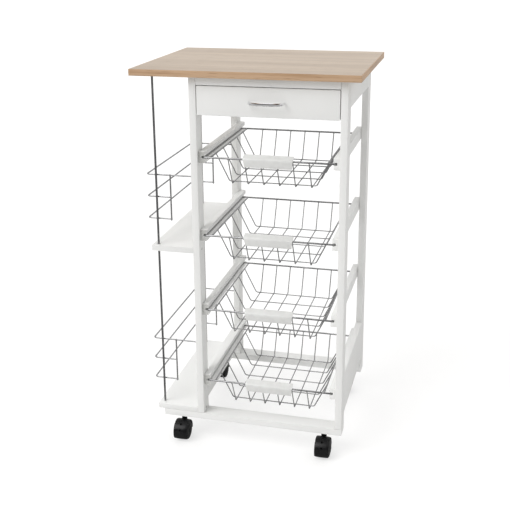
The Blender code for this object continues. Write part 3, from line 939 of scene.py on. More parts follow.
@dataclass
class PaintedFrame:
    """The painted boards: posts, base, rails, side boards and shelves."""

    finishes: Finishes
    rounding: float = 0.0009
    screw_depth: float = 0.0012
    screw_hole: float = 0.0035
    screw_rise: float = 0.0002
    foot_shares: tuple[float, float] = (0.25, 0.75)
    stem_bore: float = 0.0042
    stem_depth: float = 0.0114
    castor_columns: tuple[float, float] = (-0.1525, 0.1685)
    castor_rows: tuple[float, float] = (-0.14825, 0.15575)
    rod_column: float = -0.1958
    rod_rows: tuple[float, float] = (-0.15245, 0.15995)
    rod_hole: float = 0.0027
    rod_cutter: float = 0.1
    shelf_levels: tuple[float, float] = (0.0778, 0.4544)

    def build(self) -> None:
        """Make every board and the screws that show."""
        screws = Screws(self.finishes)
        for row in ("front", "rear"):
            for side in ("left", "right"):
                self.post(row, side, screws)
            self.base_board(row, screws)
        for side in ("left", "right"):
            for node in ("top_side_rail", "lower_side_board", "drawer_guide"):
                self.board(f"{node}_{side}")
        for node in ("top_rail_front", "top_rail_rear", "side_shelf_bottom"):
            self.board(node)
        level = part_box("side_shelf_middle")[0].z
        holes = [
            rod("hole", (self.rod_column, y, level), self.rod_hole, self.rod_cutter, sides=24)
            for y in self.rod_rows
        ]
        self.board("side_shelf_middle", *holes)
        screws.build("frame_screws", "cart")

    def board(self, node: str, *cutters: bpy.types.Object) -> None:
        """Make one painted board with rounded edges.

        Args:
            node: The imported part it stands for.
            cutters: The holes it has, as solids.
        """
        piece = cut(block(f"painted_{node}", *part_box(node)), *cutters)
        ease(piece, self.rounding)
        fit(piece, self.finishes.paint, "cart", "paint", node)

    def post(self, row: str, side: str, screws: Screws) -> None:
        """Make one post. The left ones have the countersunk holes of the shelves' screws.

        Args:
            row: Front or rear.
            side: Left or right.
            screws: Where the screws are noted.
        """
        node = f"post_{row}_{side}"
        low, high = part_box(node)
        middle = (low.y + high.y) / 2
        holes = []
        for level in self.shelf_levels if side == "left" else ():
            spot = (high.x, middle, level)
            holes.append(rod("hole", spot, self.screw_hole, 2 * self.screw_depth, Axis.X))
            seat = high.x - self.screw_depth + self.screw_rise
            screws.at((seat, middle, level), (1.0, 0.0, 0.0))
        self.board(node, *holes)

    def base_board(self, row: str, screws: Screws) -> None:
        """Make one base board, with its castor sockets and the screws under its posts.

        Args:
            row: Front or rear.
            screws: Where the screws are noted.
        """
        node = f"base_board_{row}"
        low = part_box(node)[0]
        y = self.castor_rows[0] if row == "front" else self.castor_rows[1]
        holes = [
            rod("bore", (x, y, low.z), self.stem_bore, 2 * self.stem_depth)
            for x in self.castor_columns
        ]
        for side in ("left", "right"):
            near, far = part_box(f"post_{row}_{side}")
            for share in self.foot_shares:
                spot = Vector(((near.x + far.x) / 2, near.y + share * (far.y - near.y), low.z))
                holes.append(rod("hole", spot, self.screw_hole, 2 * self.screw_depth))
                sunk = Vector((0.0, 0.0, self.screw_depth - self.screw_rise))
                screws.at(spot + sunk, (0.0, 0.0, -1.0))
        self.board(node, *holes)


@dataclass
class Runners:
    """The grooved bars that the baskets slide in."""

    finishes: Finishes
    count: int = 4
    groove_depth: float = 0.0075
    groove_height: float = 0.0060
    rounding: float = 0.0009

    def build(self) -> None:
        """Make all the runners."""
        for number in range(1, self.count + 1):
            for side in ("left", "right"):
                self.runner(side, number)

    def runner(self, side: str, number: int) -> None:
        """Make one runner.

        Args:
            side: Left or right. The left ones get painted shade on their sawn ends.
            number: Which pair it is in, from the top.
        """
        node = f"runner_{side}_{number}"
        low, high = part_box(node)
        middle, half = (low.z + high.z) / 2, self.groove_height / 2
        face = high.x if side == "left" else low.x
        near = (face - self.groove_depth, low.y - OVERRUN, middle - half)
        far = (face + self.groove_depth, high.y + OVERRUN, middle + half)
        bar = cut(block(f"painted_{node}", low, high), block("groove", near, far))
        ease(bar, self.rounding)
        fit(bar, self.finishes.paint, "cart", "paint", node)
        # Painted shade: the left runners' ends get a greyer white.
        if side == "left":
            paint_shade_on_ends(bar, self.finishes.shaded_ends)


# ------------------------------------------------------ rods and guard rails


@dataclass
class ShelfWires:
    """The two rods through the shelves and the two welded guard rails."""

    finishes: Finishes
    bar: float = 0.0016
    upright: float = 0.0018
    bead_share: float = 1.25
    bend: float = 0.007
    outside: float = -0.218
    upright_x: float = -0.166
    post_face: float = -0.1148
    rows: tuple[float, float] = (-0.14825, 0.15575)
    levels: tuple[float, ...] = (0.056, 0.104, 0.152)
    tail: float = 0.003
    rod_chamfer: float = 0.0004
    shelf_tops: tuple[tuple[str, float], ...] = (("upper", 0.4604), ("lower", 0.0838))

    def build(self) -> None:
        """Make the rods and the rails."""
        for row in ("front", "rear"):
            self.rod(f"shelf_rod_{row}")
        for name, shelf in self.shelf_tops:
            self.guard_rail(f"guard_rail_{name}", shelf)

    def rod(self, node: str) -> None:
        """Turn one rod with eased ends.

        Args:
            node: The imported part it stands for.
        """
        low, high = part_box(node)
        radius, length, chamfer = (high.x - low.x) / 2, high.z - low.z, self.rod_chamfer
        profile = (
            (0.0, 0.0),
            (0.0, radius - chamfer),
            (chamfer, radius),
            (length - chamfer, radius),
            (length, radius - chamfer),
            (length, 0.0),
        )
        centre = ((low.x + high.x) / 2, (low.y + high.y) / 2, low.z)
        bar = turned(f"plated_{node}", profile, centre, Axis.Z, 24)
        fit(bar, self.finishes.rod, "cart", "wire", node)

    def guard_rail(self, node: str, shelf: float) -> None:
        """Bend and weld one guard rail.

        Args:
            node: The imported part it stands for.
            shelf: The height of the shelf that it guards.
        """
        front, rear = self.rows
        wires = []
        for level in self.levels:
            end = self.post_face if level == self.levels[-1] else self.upright_x
            stops = ((end, front), (self.outside, front), (self.outside, rear), (end, rear))
            path = bent([(x, y, shelf + level) for x, y in stops], self.bend, 8)
            wires.append(wire("bar", path, self.bar))
        foot = shelf + self.levels[0] - self.tail
        head = shelf + self.levels[-1] + self.tail / 2
        for depth in self.rows:
            path = [Vector((self.upright_x, depth, z)) for z in (foot, head)]
            wires.append(wire("upright", path, self.upright))
            for level in self.levels:
                spot = (self.upright_x, depth, shelf + level)
                wires.append(weld_bead(spot, self.upright * self.bead_share))
        rail = gather(f"plated_{node}", wires)
        fit(rail, self.finishes.wire, "cart", "wire", node)


def weld_bead(spot: Sequence[float], radius: float) -> bpy.types.Object:
    """Add the small lump that a spot weld leaves.

    Args:
        spot: The weld's place.
        radius: How large it is.

    Returns:
        The lump, flattened a little.
    """
    put_down()
    bpy.ops.mesh.primitive_ico_sphere_add(subdivisions=2, radius=radius, location=spot)
    bead = bpy.context.object
    bead.scale = (1.0, 1.0, 0.85)
    settle(bead)
    shade(bead)
    return bead


# ------------------------------------------------------------------- drawer


@dataclass
class Drawer:
    """The drawer: a front, a box with grooved sides and a bow handle."""

    finishes: Finishes
    plain_boards: tuple[tuple[str, float], ...] = (
        ("drawer_front", 0.0012),
        ("drawer_back", 0.0007),
        ("drawer_bottom", 0.0004),
    )
    side_rounding: float = 0.0006
    groove_depth: float = 0.0050
    groove_drop: tuple[float, float] = (0.0154, 0.0266)
    housing_depth: float = 0.0043
    housing_gap: float = 0.0003
    strap: float = 0.0017
    strap_height: float = 0.0062
    strap_steps: int = 40
    strap_ends: float = 0.72
    bow_flatness: tuple[float, float] = (0.75, 0.62)
    screw_radius: float = 0.0030
    screw_inset: float = 0.003
    screw_rise: float = 0.0004

    def build(self) -> None:
        """Make the drawer's pieces."""
        for node, rounding in self.plain_boards:
            self.board(node, rounding)
        for side in ("left", "right"):
            self.side(side)
        self.handle()

    def board(self, node: str, rounding: float, *cutters: bpy.types.Object) -> None:
        """Make one painted board of the drawer.

        Args:
            node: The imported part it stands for.
            rounding: How far its edges are rounded.
            cutters: What is cut out of it, as solids.
        """
        piece = cut(block(f"painted_{node}", *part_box(node)), *cutters)
        ease(piece, rounding)
        fit(piece, self.finishes.paint, "drawer", "paint", node)

    def side(self, side: str) -> None:
        """Make one side, with the groove for its guide and the housing of the bottom.

        Args:
            side: Left or right.
        """
        node = f"drawer_side_{side}"
        low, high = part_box(node)
        outer, inner = (low.x, high.x) if side == "left" else (high.x, low.x)
        floor_low, floor_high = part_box("drawer_bottom")
        start, end = low.y - OVERRUN, high.y + OVERRUN
        upper, lower = self.groove_drop
        groove = block(
            "groove",
            (outer - self.groove_depth, start, high.z - lower),
            (outer + self.groove_depth, end, high.z - upper),
        )
        housing = block(
            "housing",
            (inner - self.housing_depth, start, floor_low.z - self.housing_gap),
            (inner + self.housing_depth, end, floor_high.z + self.housing_gap),
        )
        self.board(node, self.side_rounding, groove, housing)

    def handle(self) -> None:
        """Bend the handle's strap, flatten it and set it on the drawer's front."""
        low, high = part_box("drawer_handle")
        middle = (low + high) / 2
        half = (high.x - low.x) / 2 - self.strap
        depth = high.y - low.y - self.strap
        across_power, rise_power = self.bow_flatness
        path, swell = [], []
        for step in range(self.strap_steps + 1):
            angle = math.pi * step / self.strap_steps
            cosine, sine = math.cos(angle), math.sin(angle)
            across = -half * math.copysign(abs(cosine) ** across_power, cosine)
            rise = depth * sine**rise_power if 0 < step < self.strap_steps else 0.0
            path.append(Vector((middle.x + across, high.y - rise, 0.0)))
            swell.append(self.strap_ends + (1 - self.strap_ends) * math.sqrt(max(sine, 0.0)))
        strap = wire("chromed_handle", path, self.strap, swell=swell)
        strap.scale = (1.0, 1.0, self.strap_height / (2 * self.strap))
        strap.location.z = middle.z
        settle(strap)
        with editing(strap):
            face_out()
        shade(strap)
        fit(strap, self.finishes.chrome, "drawer", "handle", "drawer_handle")
        screws = Screws(self.finishes, radius=self.screw_radius)
        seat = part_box("drawer_front")[1].y + self.screw_rise
        for side in (-1, 1):
            x = middle.x + side * (half - self.screw_inset)
            screws.at((x, seat, middle.z), (0.0, 1.0, 0.0))
        screws.build("handle_screws", "drawer")


# ------------------------------------------------------------------ baskets


@dataclass
class Baskets:
    """The welded wire baskets and the grips clipped on their front rims."""

    finishes: Finishes
    count: int = 4
    loop: float = 0.0020
    side_rim: float = 0.0016
    thin: float = 0.0012
    loop_facet: float = 0.00173
    side_rim_half: float = 0.1217
    drop: float = 0.060
    side_slope: float = 0.029
    front_slope: float = 0.031
    rear_slope: float = 0.029
    long_wires: int = 6
    outer_long_wire: float = 0.084
    cross_wires: int = 5
    cross_margin: float = 0.0105
    cross_sink: float = 0.0006
    wide_bend: float = 0.006
    tight_bend: float = 0.005
    loop_bead: tuple[float, float] = (1.12, 0.0008)
    rim_bead: tuple[float, float] = (1.15, 0.0004)
    crossing_bead: float = 1.3
    grip_wall: float = 0.0020
    grip_rounding: float = 0.0006
    grip_taper: float = 0.945
    brow_rise: float = 0.0025
    brow_bend: float = 0.0032
    brow_slack: float = 1e-5
    front_slack: float = 0.0001
    front_slant: float = 0.0048
    clip_wall: float = 0.0020
    clip_width: float = 0.0030
    clip_nose: float = 0.0008
    clip_tops: tuple[float, float] = (0.0022, 0.0046)
    clip_gap: float = 0.0003
    clip_mouth: float = 0.0016

    def build(self) -> None:
        """Make the first basket and grip, and copy them for the others."""
        low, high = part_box("basket_1_wires")
        first = self.wires(low, high)
        grip = self.grip(low, high)
        for number in range(2, self.count + 1):
            move = (0.0, 0.0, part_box(f"basket_{number}_wires")[1].z - high.z)
            self.finish(another(first, f"plated_basket_{number}", move), number, "wires")
            self.finish(another(grip, f"moulded_grip_{number}", move), number, "grip")
        self.finish(first, 1, "wires")
        self.finish(grip, 1, "grip")

    def finish(self, piece: bpy.types.Object, number: int, node: str) -> None:
        """Dress a basket or a grip and hang it on its slide.

        Args:
            piece: The wires or the grip.
            number: Which basket it is, from the top.
            node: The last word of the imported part's name, wires or grip.
        """
        coat = self.finishes.wire if node == "wires" else self.finishes.grip
        slot = "wire" if node == "wires" else "grip"
        fit(piece, coat, f"basket_{number}", slot, f"basket_{number}_{node}")

    def wires(self, low: Vector, high: Vector) -> bpy.types.Object:
        """Bend and weld the wires of one basket.

        Args:
            low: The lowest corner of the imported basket.
            high: Its highest corner.

        Returns:
            The wires as one piece.
        """
        middle = (low.x + high.x) / 2
        half = (high.x - low.x) / 2 - self.loop
        front, rear = low.y + self.loop, high.y - self.loop
        rim = high.z - self.loop_facet
        base = rim - self.drop
        corners = ((-half, front), (half, front), (half, rear), (-half, rear))
        loop = bent([(middle + x, y, rim) for x, y in corners], self.wide_bend, closed=True)
        wires = [wire("loop", loop, self.loop, closed=True)]
        sides = [middle + side * self.side_rim_half for side in (-1, 1)]
        for x in sides:
            wires.append(wire("rim", [Vector((x, y, rim)) for y in (front, rear)], self.side_rim))
        columns = [
            middle + (2 * index / (self.long_wires - 1) - 1) * self.outer_long_wire
            for index in range(self.long_wires)
        ]
        share, sink = self.loop_bead
        near, far = front + self.front_slope, rear - self.rear_slope
        for x in columns:
            stops = ((front, rim), (near, base), (far, base), (rear, rim))
            path = bent([(x, y, z) for y, z in stops], self.tight_bend)
            wires.append(wire("long_wire", path, self.thin))
            for y in (front, rear):
                wires.append(weld_bead((x, y, rim - sink), self.loop * share))
        start, end = near + self.cross_margin, far - self.cross_margin
        level = base + 2 * self.thin - self.cross_sink
        foot = self.side_rim_half - self.side_slope
        stops = ((-self.side_rim_half, rim), (-foot, level), (foot, level))
        stops += ((self.side_rim_half, rim),)
        share, sink = self.rim_bead
        for index in range(self.cross_wires):
            y = start + index * (end - start) / (self.cross_wires - 1)
            path = bent([(middle + x, y, z) for x, z in stops], self.wide_bend)
            wires.append(wire("cross_wire", path, self.thin))
            for x in columns:
                wires.append(weld_bead((x, y, (base + level) / 2), self.thin * self.crossing_bead))
            for x in sides:
                wires.append(weld_bead((x, y, rim - sink), self.side_rim * share))
        return gather("plated_basket_1", wires)

    def grip(self, low: Vector, high: Vector) -> bpy.types.Object:
        """Fold one grip's plate over the rim and add its clips.

        Args:
            low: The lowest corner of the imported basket.
            high: Its highest corner.

        Returns:
            The grip as one piece.
        """
        near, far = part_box("basket_1_grip")
        middle, half = (low.x + high.x) / 2, (far.x - near.x) / 2
        rim_y, rim_z = low.y + self.loop, high.z - self.loop_facet
        brow = Vector((-half, near.y, rim_z + self.brow_rise))
        outline = (brow, (half, near.y, brow.z), (half, far.y, far.z), (-half, far.y, far.z))
        plate = drawn("moulded_grip_1", outline, closed=True)
        with editing(plate, Pick.EDGES) as shape:
            front = near.y + self.front_slack
            pick(shape, Pick.EDGES, lambda edge: all(v.co.y < front for v in edge.verts))
            fall = Vector((0.0, self.front_slant, near.z - brow.z))
            bpy.ops.mesh.extrude_region_move(TRANSFORM_OT_translate={"value": fall})
            bpy.ops.transform.resize(value=(self.grip_taper, 1.0, 1.0))
            pick(
                bmesh.from_edit_mesh(plate.data),
                Pick.EDGES,
                lambda edge: all(abs(v.co.z - brow.z) < self.brow_slack for v in edge.verts),
            )
            bpy.ops.mesh.bevel(offset=self.brow_bend, segments=5, affect="EDGES")
            face_out()
        plate.location.x = middle
        settle(plate)
        self.face_up(plate)
        modify(plate, "SOLIDIFY", thickness=self.grip_wall, offset=-1.0, use_even_offset=True)
        ease(plate, self.grip_rounding, 3, 40.0)
        pitch = 2 * self.outer_long_wire / (self.long_wires - 1)
        clips = [self.clip(middle + side * pitch, rim_y, rim_z) for side in (-1, 1)]
        grip = gather("moulded_grip_1", [plate, *clips])
        shade(grip, 50.0)
        return grip

    def face_up(self, plate: bpy.types.Object) -> None:
        """Turn a plate's faces so that its top looks up.

        Args:
            plate: The plate, one face thick.
        """
        with editing(plate) as shape:
            upper = max(shape.faces, key=lambda face: face.calc_center_median().z)
            down = upper.normal.z < 0
            bpy.ops.mesh.select_all(action="SELECT")
            if down:
                bpy.ops.mesh.flip_normals()

    def clip(self, x: float, rim_y: float, rim_z: float) -> bpy.types.Object:
        """Cut one clip that snaps on the rim.

        Args:
            x: The clip's middle.
            rim_y: The rim's place from front to back.
            rim_z: The rim's height.

        Returns:
            The clip.
        """
        reach, start = self.loop + self.clip_wall, x - self.clip_width / 2
        front_top, rear_top = self.clip_tops
        outline = [
            (start, rim_y - reach - self.clip_nose, rim_z + front_top),
            (start, rim_y + reach, rim_z + rear_top),
            (start, rim_y + reach, rim_z - reach),
            (start, rim_y - reach, rim_z - reach),
        ]
        clip = extruded("clip", outline, (self.clip_width, 0.0, 0.0))
        bore = rod("bore", (x, rim_y, rim_z), self.loop + self.clip_gap, 2 * OVERRUN, Axis.X)
        low = (x - OVERRUN, rim_y, rim_z - self.clip_mouth)
        high = (x + OVERRUN, rim_y + 2 * OVERRUN, rim_z + self.clip_mouth)
        cut(clip, bore, block("mouth", low, high))
        ease(clip, self.clip_gap, 2)
        return clip


# ------------------------------------------------------------------ castors


@dataclass
class Castors:
    """Four swivelling castors, each with a hood and two wheels.

    A profile gives steps from an edge and how far each lies inside the radius.
    """

    finishes: Finishes
    trail: float = 0.013
    axle_height: float = 0.0215
    top: float = 0.057
    wheel: float = 0.0215
    inner: float = 0.0030
    width: float = 0.0125
    crown: float = 0.0029
    shell: float = 0.0014
    hood_radius: float = 0.0238
    hood_half: float = 0.0155
    web_half: float = 0.0025
    web_foot: float = 0.0052
    hub: float = 0.0065
    bore: float = 0.0023
    pin: float = 0.0020
    pin_chamfer: float = 0.0003
    pin_share: float = 0.8
    collar: float = 0.0060
    collar_foot: float = 0.004
    collar_rise: float = 0.0003
    stem: float = 0.0037
    stem_length: float = 0.0110
    room_reach: float = 0.05
    shell_arc: tuple[float, float] = (-12.0, 226.0)
    web_arc: tuple[float, float] = (-9.0, 220.0)
    arc_steps: int = 44
    hood_crown: Profile = ((1.0, -0.00105), (0.93, -0.00060), (0.78, -0.00015), (0.5, 0.00012))
    hood_peak: float = 0.00022
    windows: Profile = ((125.0, 0.0050), (156.0, 0.0042))
    window_half: float = 0.0019
    window_depth: tuple[float, float] = (0.0195, 0.03)
    collar_profile: Profile = (
        (0.0030, 0.0),
        (0.0024, 0.0007),
        (0.0018, 0.0),
        (0.0003, 0.0),
        (0.0, 0.0004),
    )
    stem_profile: Profile = (
        (0.0030, 0.0),
        (0.0026, 0.0004),
        (0.0020, 0.0004),
        (0.0016, 0.0),
        (0.0008, 0.0),
        (0.0, 0.0009),
    )
    dish: Profile = ((0.0, 0.0060), (0.0015, 0.0066))
    inner_profile: Profile = (
        (0.0015, 0.0045),
        (0.0, 0.0038),
        (0.0, 0.0014),
        (0.0004, 0.0004),
        (0.0014, 0.0),
    )
    outer_profile: Profile = (
        (0.0052, 0.0),
        (0.0036, 0.0002),
        (0.0021, 0.0008),
        (0.0009, 0.0018),
        (0.0002, 0.0030),
        (0.0, 0.0041),
        (0.0007, 0.0044),
    )
    cap_sink: float = 0.0006
    cap_inset: float = 0.0047
    cap_chamfer: float = 0.0003
    cap_lip: float = 0.0007
    dome_loss: float = 0.0010
    dome_shares: tuple[float, ...] = (0.9, 0.8, 0.7, 0.6)
    cap_ring: Profile = ((-0.0003, 0.56), (-0.0003, 0.53), (0.0002, 0.50))
    cap_button: tuple[float, float] = (0.0002, 0.25)
    places: tuple[tuple[str, float, float], ...] = (
        ("front_left", -0.1525, -0.14825),
        ("front_right", 0.1685, -0.14825),
        ("rear_left", -0.1525, 0.15575),
        ("rear_right", 0.1685, 0.15575),
    )

    def build(self) -> None:
        """Make one castor round its axle and copy it to the four corners."""
        coats = self.finishes
        hood, axle = self.hood(), self.axle()
        treads = {side: self.tread(sign) for side, sign in (("left", -1), ("right", 1))}
        caps = {side: self.cap(sign) for side, sign in (("left", -1), ("right", 1))}
        for name, x, y in self.places:
            body = f"castor_{name}"
            pieces = [
                (hood, f"hood_{name}", coats.hood, body, "castor", f"{body}_hood"),
                (axle, f"axle_{name}", coats.steel, body, "axle", f"{body}_axle"),
            ]
            for side in ("left", "right"):
                wheel, tail = f"wheel_{name}_{side}", f"{name}_{side}"
                node = f"{body}_wheel_{side}"
                pieces += [
                    (treads[side], f"tread_{tail}", coats.tread, wheel, "wheel", node),
                    (caps[side], f"wheel_cap_{tail}", coats.hood, wheel, "wheel"),
                ]
            for first, title, *places in pieces:
                copy = another(first, title, (x, y - self.trail, self.axle_height))
                fit(copy, *places)
        for piece in (hood, axle, *treads.values(), *caps.values()):
            bpy.data.objects.remove(piece, do_unlink=True)

    def sector(
        self, name: str, outline: Sequence[tuple[float, float]], start: float, sweep: float
    ) -> bpy.types.Object:
        """Sweep a closed outline part of the way round the axle.

        Args:
            name: The object's name.
            outline: Corners as (across, radius).
            start: The first angle in degrees, 0 to the rear and 90 up.
            sweep: How far it goes round, in degrees.

        Returns:
            The swept solid.
        """
        angle = math.radians(start)
        points = [(x, r * math.cos(angle), r * math.sin(angle)) for x, r in outline]
        piece = drawn(name, points, closed=True)
        turn = {"angle": -math.radians(sweep), "center": (0.0, 0.0, 0.0)}
        with editing(piece):
            bpy.ops.mesh.select_all(action="SELECT")
            bpy.ops.mesh.spin(steps=self.arc_steps, axis=Axis.X.vector, **turn)
            face_out()
        return piece

    def hood(self) -> bpy.types.Object:
        """Mould the hood: a barrel shell, a web, a neck and a stem.

        Returns:
            The hood, with its axle at the origin.
        """
        out, wall, half, web = self.hood_radius, self.shell, self.hood_half, self.web_half
        clear = out - wall * 0.5
        left = [(-half * share, out + rise) for share, rise in self.hood_crown]
        right = [(-x, radius) for x, radius in reversed(left)]
        outline = (
            (-half, out - wall),
            *left,
            (0.0, out + self.hood_peak),
            *right,
            (half, out - wall),
        )
        shell = self.sector("hood", outline, *self.shell_arc)
        outline = ((-web, self.web_foot), (-web, clear), (web, clear), (web, self.web_foot))
        middle = self.sector("web", outline, *self.web_arc)
        hub = rod("hub", (0.0, 0.0, 0.0), self.hub, 2 * (web + 0.0002), Axis.X)
        weld(shell, middle, hub)
        neck = self.neck(self.top - self.axle_height - self.collar_rise)
        for side in (-1, 1):
            near, far = sorted((side * web * 0.8, side * self.room_reach))
            spot = ((near + far) / 2, 0.0, 0.0)
            cut(neck, rod("room", spot, clear, far - near, Axis.X, 64))
        weld(shell, neck)
        for angle, height in self.windows:
            self.recess(shell, angle, height)
        cut(shell, rod("bore", (0.0, 0.0, 0.0), self.bore, 3 * OVERRUN, Axis.X, 24))
        shade(shell, 30.0)
        return shell

    def neck(self, rise: float) -> bpy.types.Object:
        """Turn the neck's collar and the steel stem above it.

        Args:
            rise: The collar's top above the axle.

        Returns:
            The neck, behind the axle by the trail.
        """
        tip = rise + self.collar_rise + self.stem_length
        profile = [(self.collar_foot, 0.0), (self.collar_foot, self.collar)]
        profile += [(rise - down, self.collar - slim) for down, slim in self.collar_profile]
        profile.append((rise, self.stem))
        profile += [(tip - down, self.stem - slim) for down, slim in self.stem_profile]
        profile.append((tip, 0.0))
        return turned("neck", profile, (0.0, self.trail, 0.0), Axis.Z, 32)

    def recess(self, shell: bpy.types.Object, angle: float, height: float) -> None:
        """Sink a small window into the hood's front.

        Args:
            shell: The hood.
            angle: Where it lies round the axle, in degrees.
            height: How tall it is.
        """
        half, (near, far) = self.window_half, self.window_depth
        window = block("window", (-half, near, -height / 2), (half, far, height / 2))
        window.rotation_euler = (math.radians(angle), 0.0, 0.0)
        cut(shell, settle(window))

    def axle(self) -> bpy.types.Object:
        """Turn the pin that both wheels run on.

        Returns:
            The pin, with its middle at the origin.
        """
        chamfer, radius = self.pin_chamfer, self.pin
        half = self.pin_share * self.width + self.inner - chamfer
        right = [(half - chamfer, radius), (half, radius - chamfer), (half, 0.0)]
        left = [(-along, across) for along, across in reversed(right)]
        return turned("axle", left + right, sides=24)

    def tread(self, sign: int) -> bpy.types.Object:
        """Turn one wheel's body, with its tread and its dished inner face.

        Args:
            sign: -1 for the left wheel and 1 for the right.

        Returns:
            The wheel's body.
        """
        inner, outer, radius = self.inner, self.inner + self.width, self.wheel
        end = inner + self.pin_share * self.width
        profile = [(end, 0.0), (end, self.bore), (inner, self.bore)]
        profile += [(inner + step, across) for step, across in self.dish]
        profile += [(inner + step, radius - slim) for step, slim in self.inner_profile]
        profile += [(outer - step, radius - slim) for step, slim in self.outer_profile]
        profile.append((profile[-1][0], 0.0))
        return turned("tread", [(sign * along, r) for along, r in profile], sides=64)

    def cap(self, sign: int) -> bpy.types.Object:
        """Turn one wheel's domed cap, with a raised ring and a button.

        Args:
            sign: -1 for the left wheel and 1 for the right.

        Returns:
            The cap.
        """
        seat, rim = self.inner + self.width - self.cap_sink, self.wheel - self.cap_inset
        crown, lip = self.crown + self.cap_sink, seat + self.cap_lip
        profile = [(seat, 0.0), (seat, rim - self.cap_chamfer), (lip, rim)]
        for share in self.dome_shares:
            profile.append((lip + (crown - self.dome_loss) * (1 - share**2), share * rim))
        edge = profile[-1][0]
        profile += [(edge + step, share * rim) for step, share in self.cap_ring]
        sink, share = self.cap_button
        profile += [(seat + crown - sink, share * rim), (seat + crown, 0.0)]
        return turned("cap", [(sign * along, r) for along, r in profile], sides=64)


# ------------------------------------------------------------------- studio


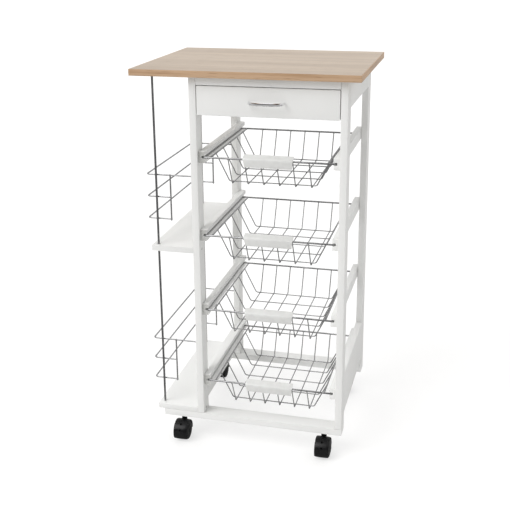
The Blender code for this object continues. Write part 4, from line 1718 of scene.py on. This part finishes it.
@dataclass
class Studio:
    """A plain pale floor, soft light all round and the camera."""

    floor_size: float = 40.0
    floor_colour: Colour = (0.40, 0.397, 0.392)
    floor_glow: Colour = (1.0, 1.0, 1.0)
    floor_light: float = 0.61
    floor_bounce: float = 0.52
    sky: float = 0.66
    camera_place: Colour = (0.45757, -1.85273, 1.08770)
    heading: float = 14.4986
    tilt: float = 16.9652
    roll: float = -0.4950
    lens: float = 62.96
    shift: float = -0.09
    sensor: float = 36.0
    sight: float = 200.0
    backdrop: float = 1.56
    sky_stops: tuple[tuple[float, Colour], ...] = (
        (0.08, (0.03, 0.03, 0.035)),
        (0.24, (1.0, 1.0, 1.0)),
    )
    suns: tuple[tuple[str, Colour, float, float], ...] = (
        ("key_light", (48.0, 0.0, -40.0), 1.85, 45.0),
        ("fill_light", (52.0, 0.0, 70.0), 0.25, 80.0),
        ("back_light", (-34.0, 0.0, 12.0), 0.6, 60.0),
    )

    def build(self) -> None:
        """Lay the floor, hang the lights and place the camera."""
        self.floor()
        self.world()
        for sun in self.suns:
            self.sun(*sun)
        self.camera()

    def floor(self) -> None:
        """Lay a wide matt floor."""
        put_down()
        bpy.ops.mesh.primitive_grid_add(x_subdivisions=8, y_subdivisions=8, size=self.floor_size)
        floor = bpy.context.object
        floor.name = "studio_floor"
        recipe = Recipe("studio_floor")
        recipe.set(Base_Color=self.floor_colour, Roughness=0.95, Emission_Color=self.floor_glow)
        links = recipe.tree.links
        path = recipe.tree.nodes.new("ShaderNodeLightPath")
        glow = recipe.tree.nodes.new("ShaderNodeMapRange")
        glow.inputs["To Max"].default_value = self.floor_bounce
        links.new(path.outputs["Is Diffuse Ray"], glow.inputs["Value"])
        seen = recipe.tree.nodes.new("ShaderNodeMath")
        seen.operation = "MULTIPLY_ADD"
        seen.inputs[1].default_value = self.floor_light
        links.new(path.outputs["Is Camera Ray"], seen.inputs[0])
        links.new(glow.outputs["Result"], seen.inputs[2])
        links.new(seen.outputs["Value"], recipe.shader.inputs["Emission Strength"])
        dress(floor, recipe.material)

    def world(self) -> None:
        """Wrap the cart in soft white light, darker towards the front for reflections."""
        world = bpy.data.worlds.new("studio_light")
        bpy.context.scene.world = world
        world.use_nodes = True
        tree = world.node_tree
        shader = tree.nodes["Background"]
        shader.inputs["Strength"].default_value = self.sky
        place = tree.nodes.new("ShaderNodeTexCoord")
        split = tree.nodes.new("ShaderNodeSeparateXYZ")
        ramp = tree.nodes.new("ShaderNodeValToRGB")
        turn = tree.nodes.new("ShaderNodeMapRange")
        turn.inputs["From Min"].default_value = -1.0
        turn.inputs["From Max"].default_value = 1.0
        for element, (spot, colour) in zip(ramp.color_ramp.elements, self.sky_stops):
            element.position = spot
            element.color = (*colour, 1.0)
        path = tree.nodes.new("ShaderNodeLightPath")
        mix = tree.nodes.new("ShaderNodeMix")
        mix.data_type = "RGBA"
        mix.inputs[MIX_SECOND].default_value = (*(self.backdrop,) * 3, 1.0)
        tree.links.new(place.outputs["Generated"], split.inputs["Vector"])
        tree.links.new(split.outputs["Y"], turn.inputs["Value"])
        tree.links.new(turn.outputs["Result"], ramp.inputs["Fac"])
        tree.links.new(path.outputs["Is Camera Ray"], mix.inputs["Factor"])
        tree.links.new(ramp.outputs["Color"], mix.inputs[MIX_FIRST])
        tree.links.new(mix.outputs[MIX_RESULT], shader.inputs["Color"])

    def sun(self, name: str, turn: Colour, strength: float, softness: float) -> None:
        """Hang one wide, soft light.

        Args:
            name: The light's name.
            turn: Its turn in degrees.
            strength: Its strength.
            softness: How wide it looks, in degrees.
        """
        put_down()
        bpy.ops.object.light_add(type="SUN", location=(0.0, 0.0, 3.0))
        light = bpy.context.object
        light.name = name
        light.rotation_euler = [math.radians(angle) for angle in turn]
        light.data.energy = strength
        light.data.angle = math.radians(softness)

    def camera(self) -> None:
        """Place the camera and make it the scene's own."""
        put_down()
        bpy.ops.object.camera_add(location=self.camera_place)
        camera = bpy.context.object
        camera.name = "camera"
        aim = Matrix.Rotation(math.radians(self.heading), 3, "Z")
        aim @= Matrix.Rotation(math.radians(90.0 - self.tilt), 3, "X")
        aim @= Matrix.Rotation(math.radians(self.roll), 3, "Z")
        camera.rotation_euler = aim.to_euler()
        camera.data.sensor_width = self.sensor
        camera.data.lens = self.lens
        camera.data.shift_y = self.shift
        camera.data.clip_end = self.sight
        bpy.context.scene.camera = camera
        bpy.context.scene.view_settings.view_transform = "Standard"


def main() -> None:
    """Build the cart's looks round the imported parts, in order."""
    logging.basicConfig(level=logging.INFO, format="%(name)s: %(message)s")
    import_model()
    finishes = Finishes()
    for assembly in (
        Worktop(finishes),
        PaintedFrame(finishes),
        Runners(finishes),
        ShelfWires(finishes),
        Drawer(finishes),
        Baskets(finishes),
        Castors(finishes),
        Studio(),
    ):
        assembly.build()
        LOG.info("%s done", type(assembly).__name__)
    put_down()


if __name__ == "__main__":
    main()
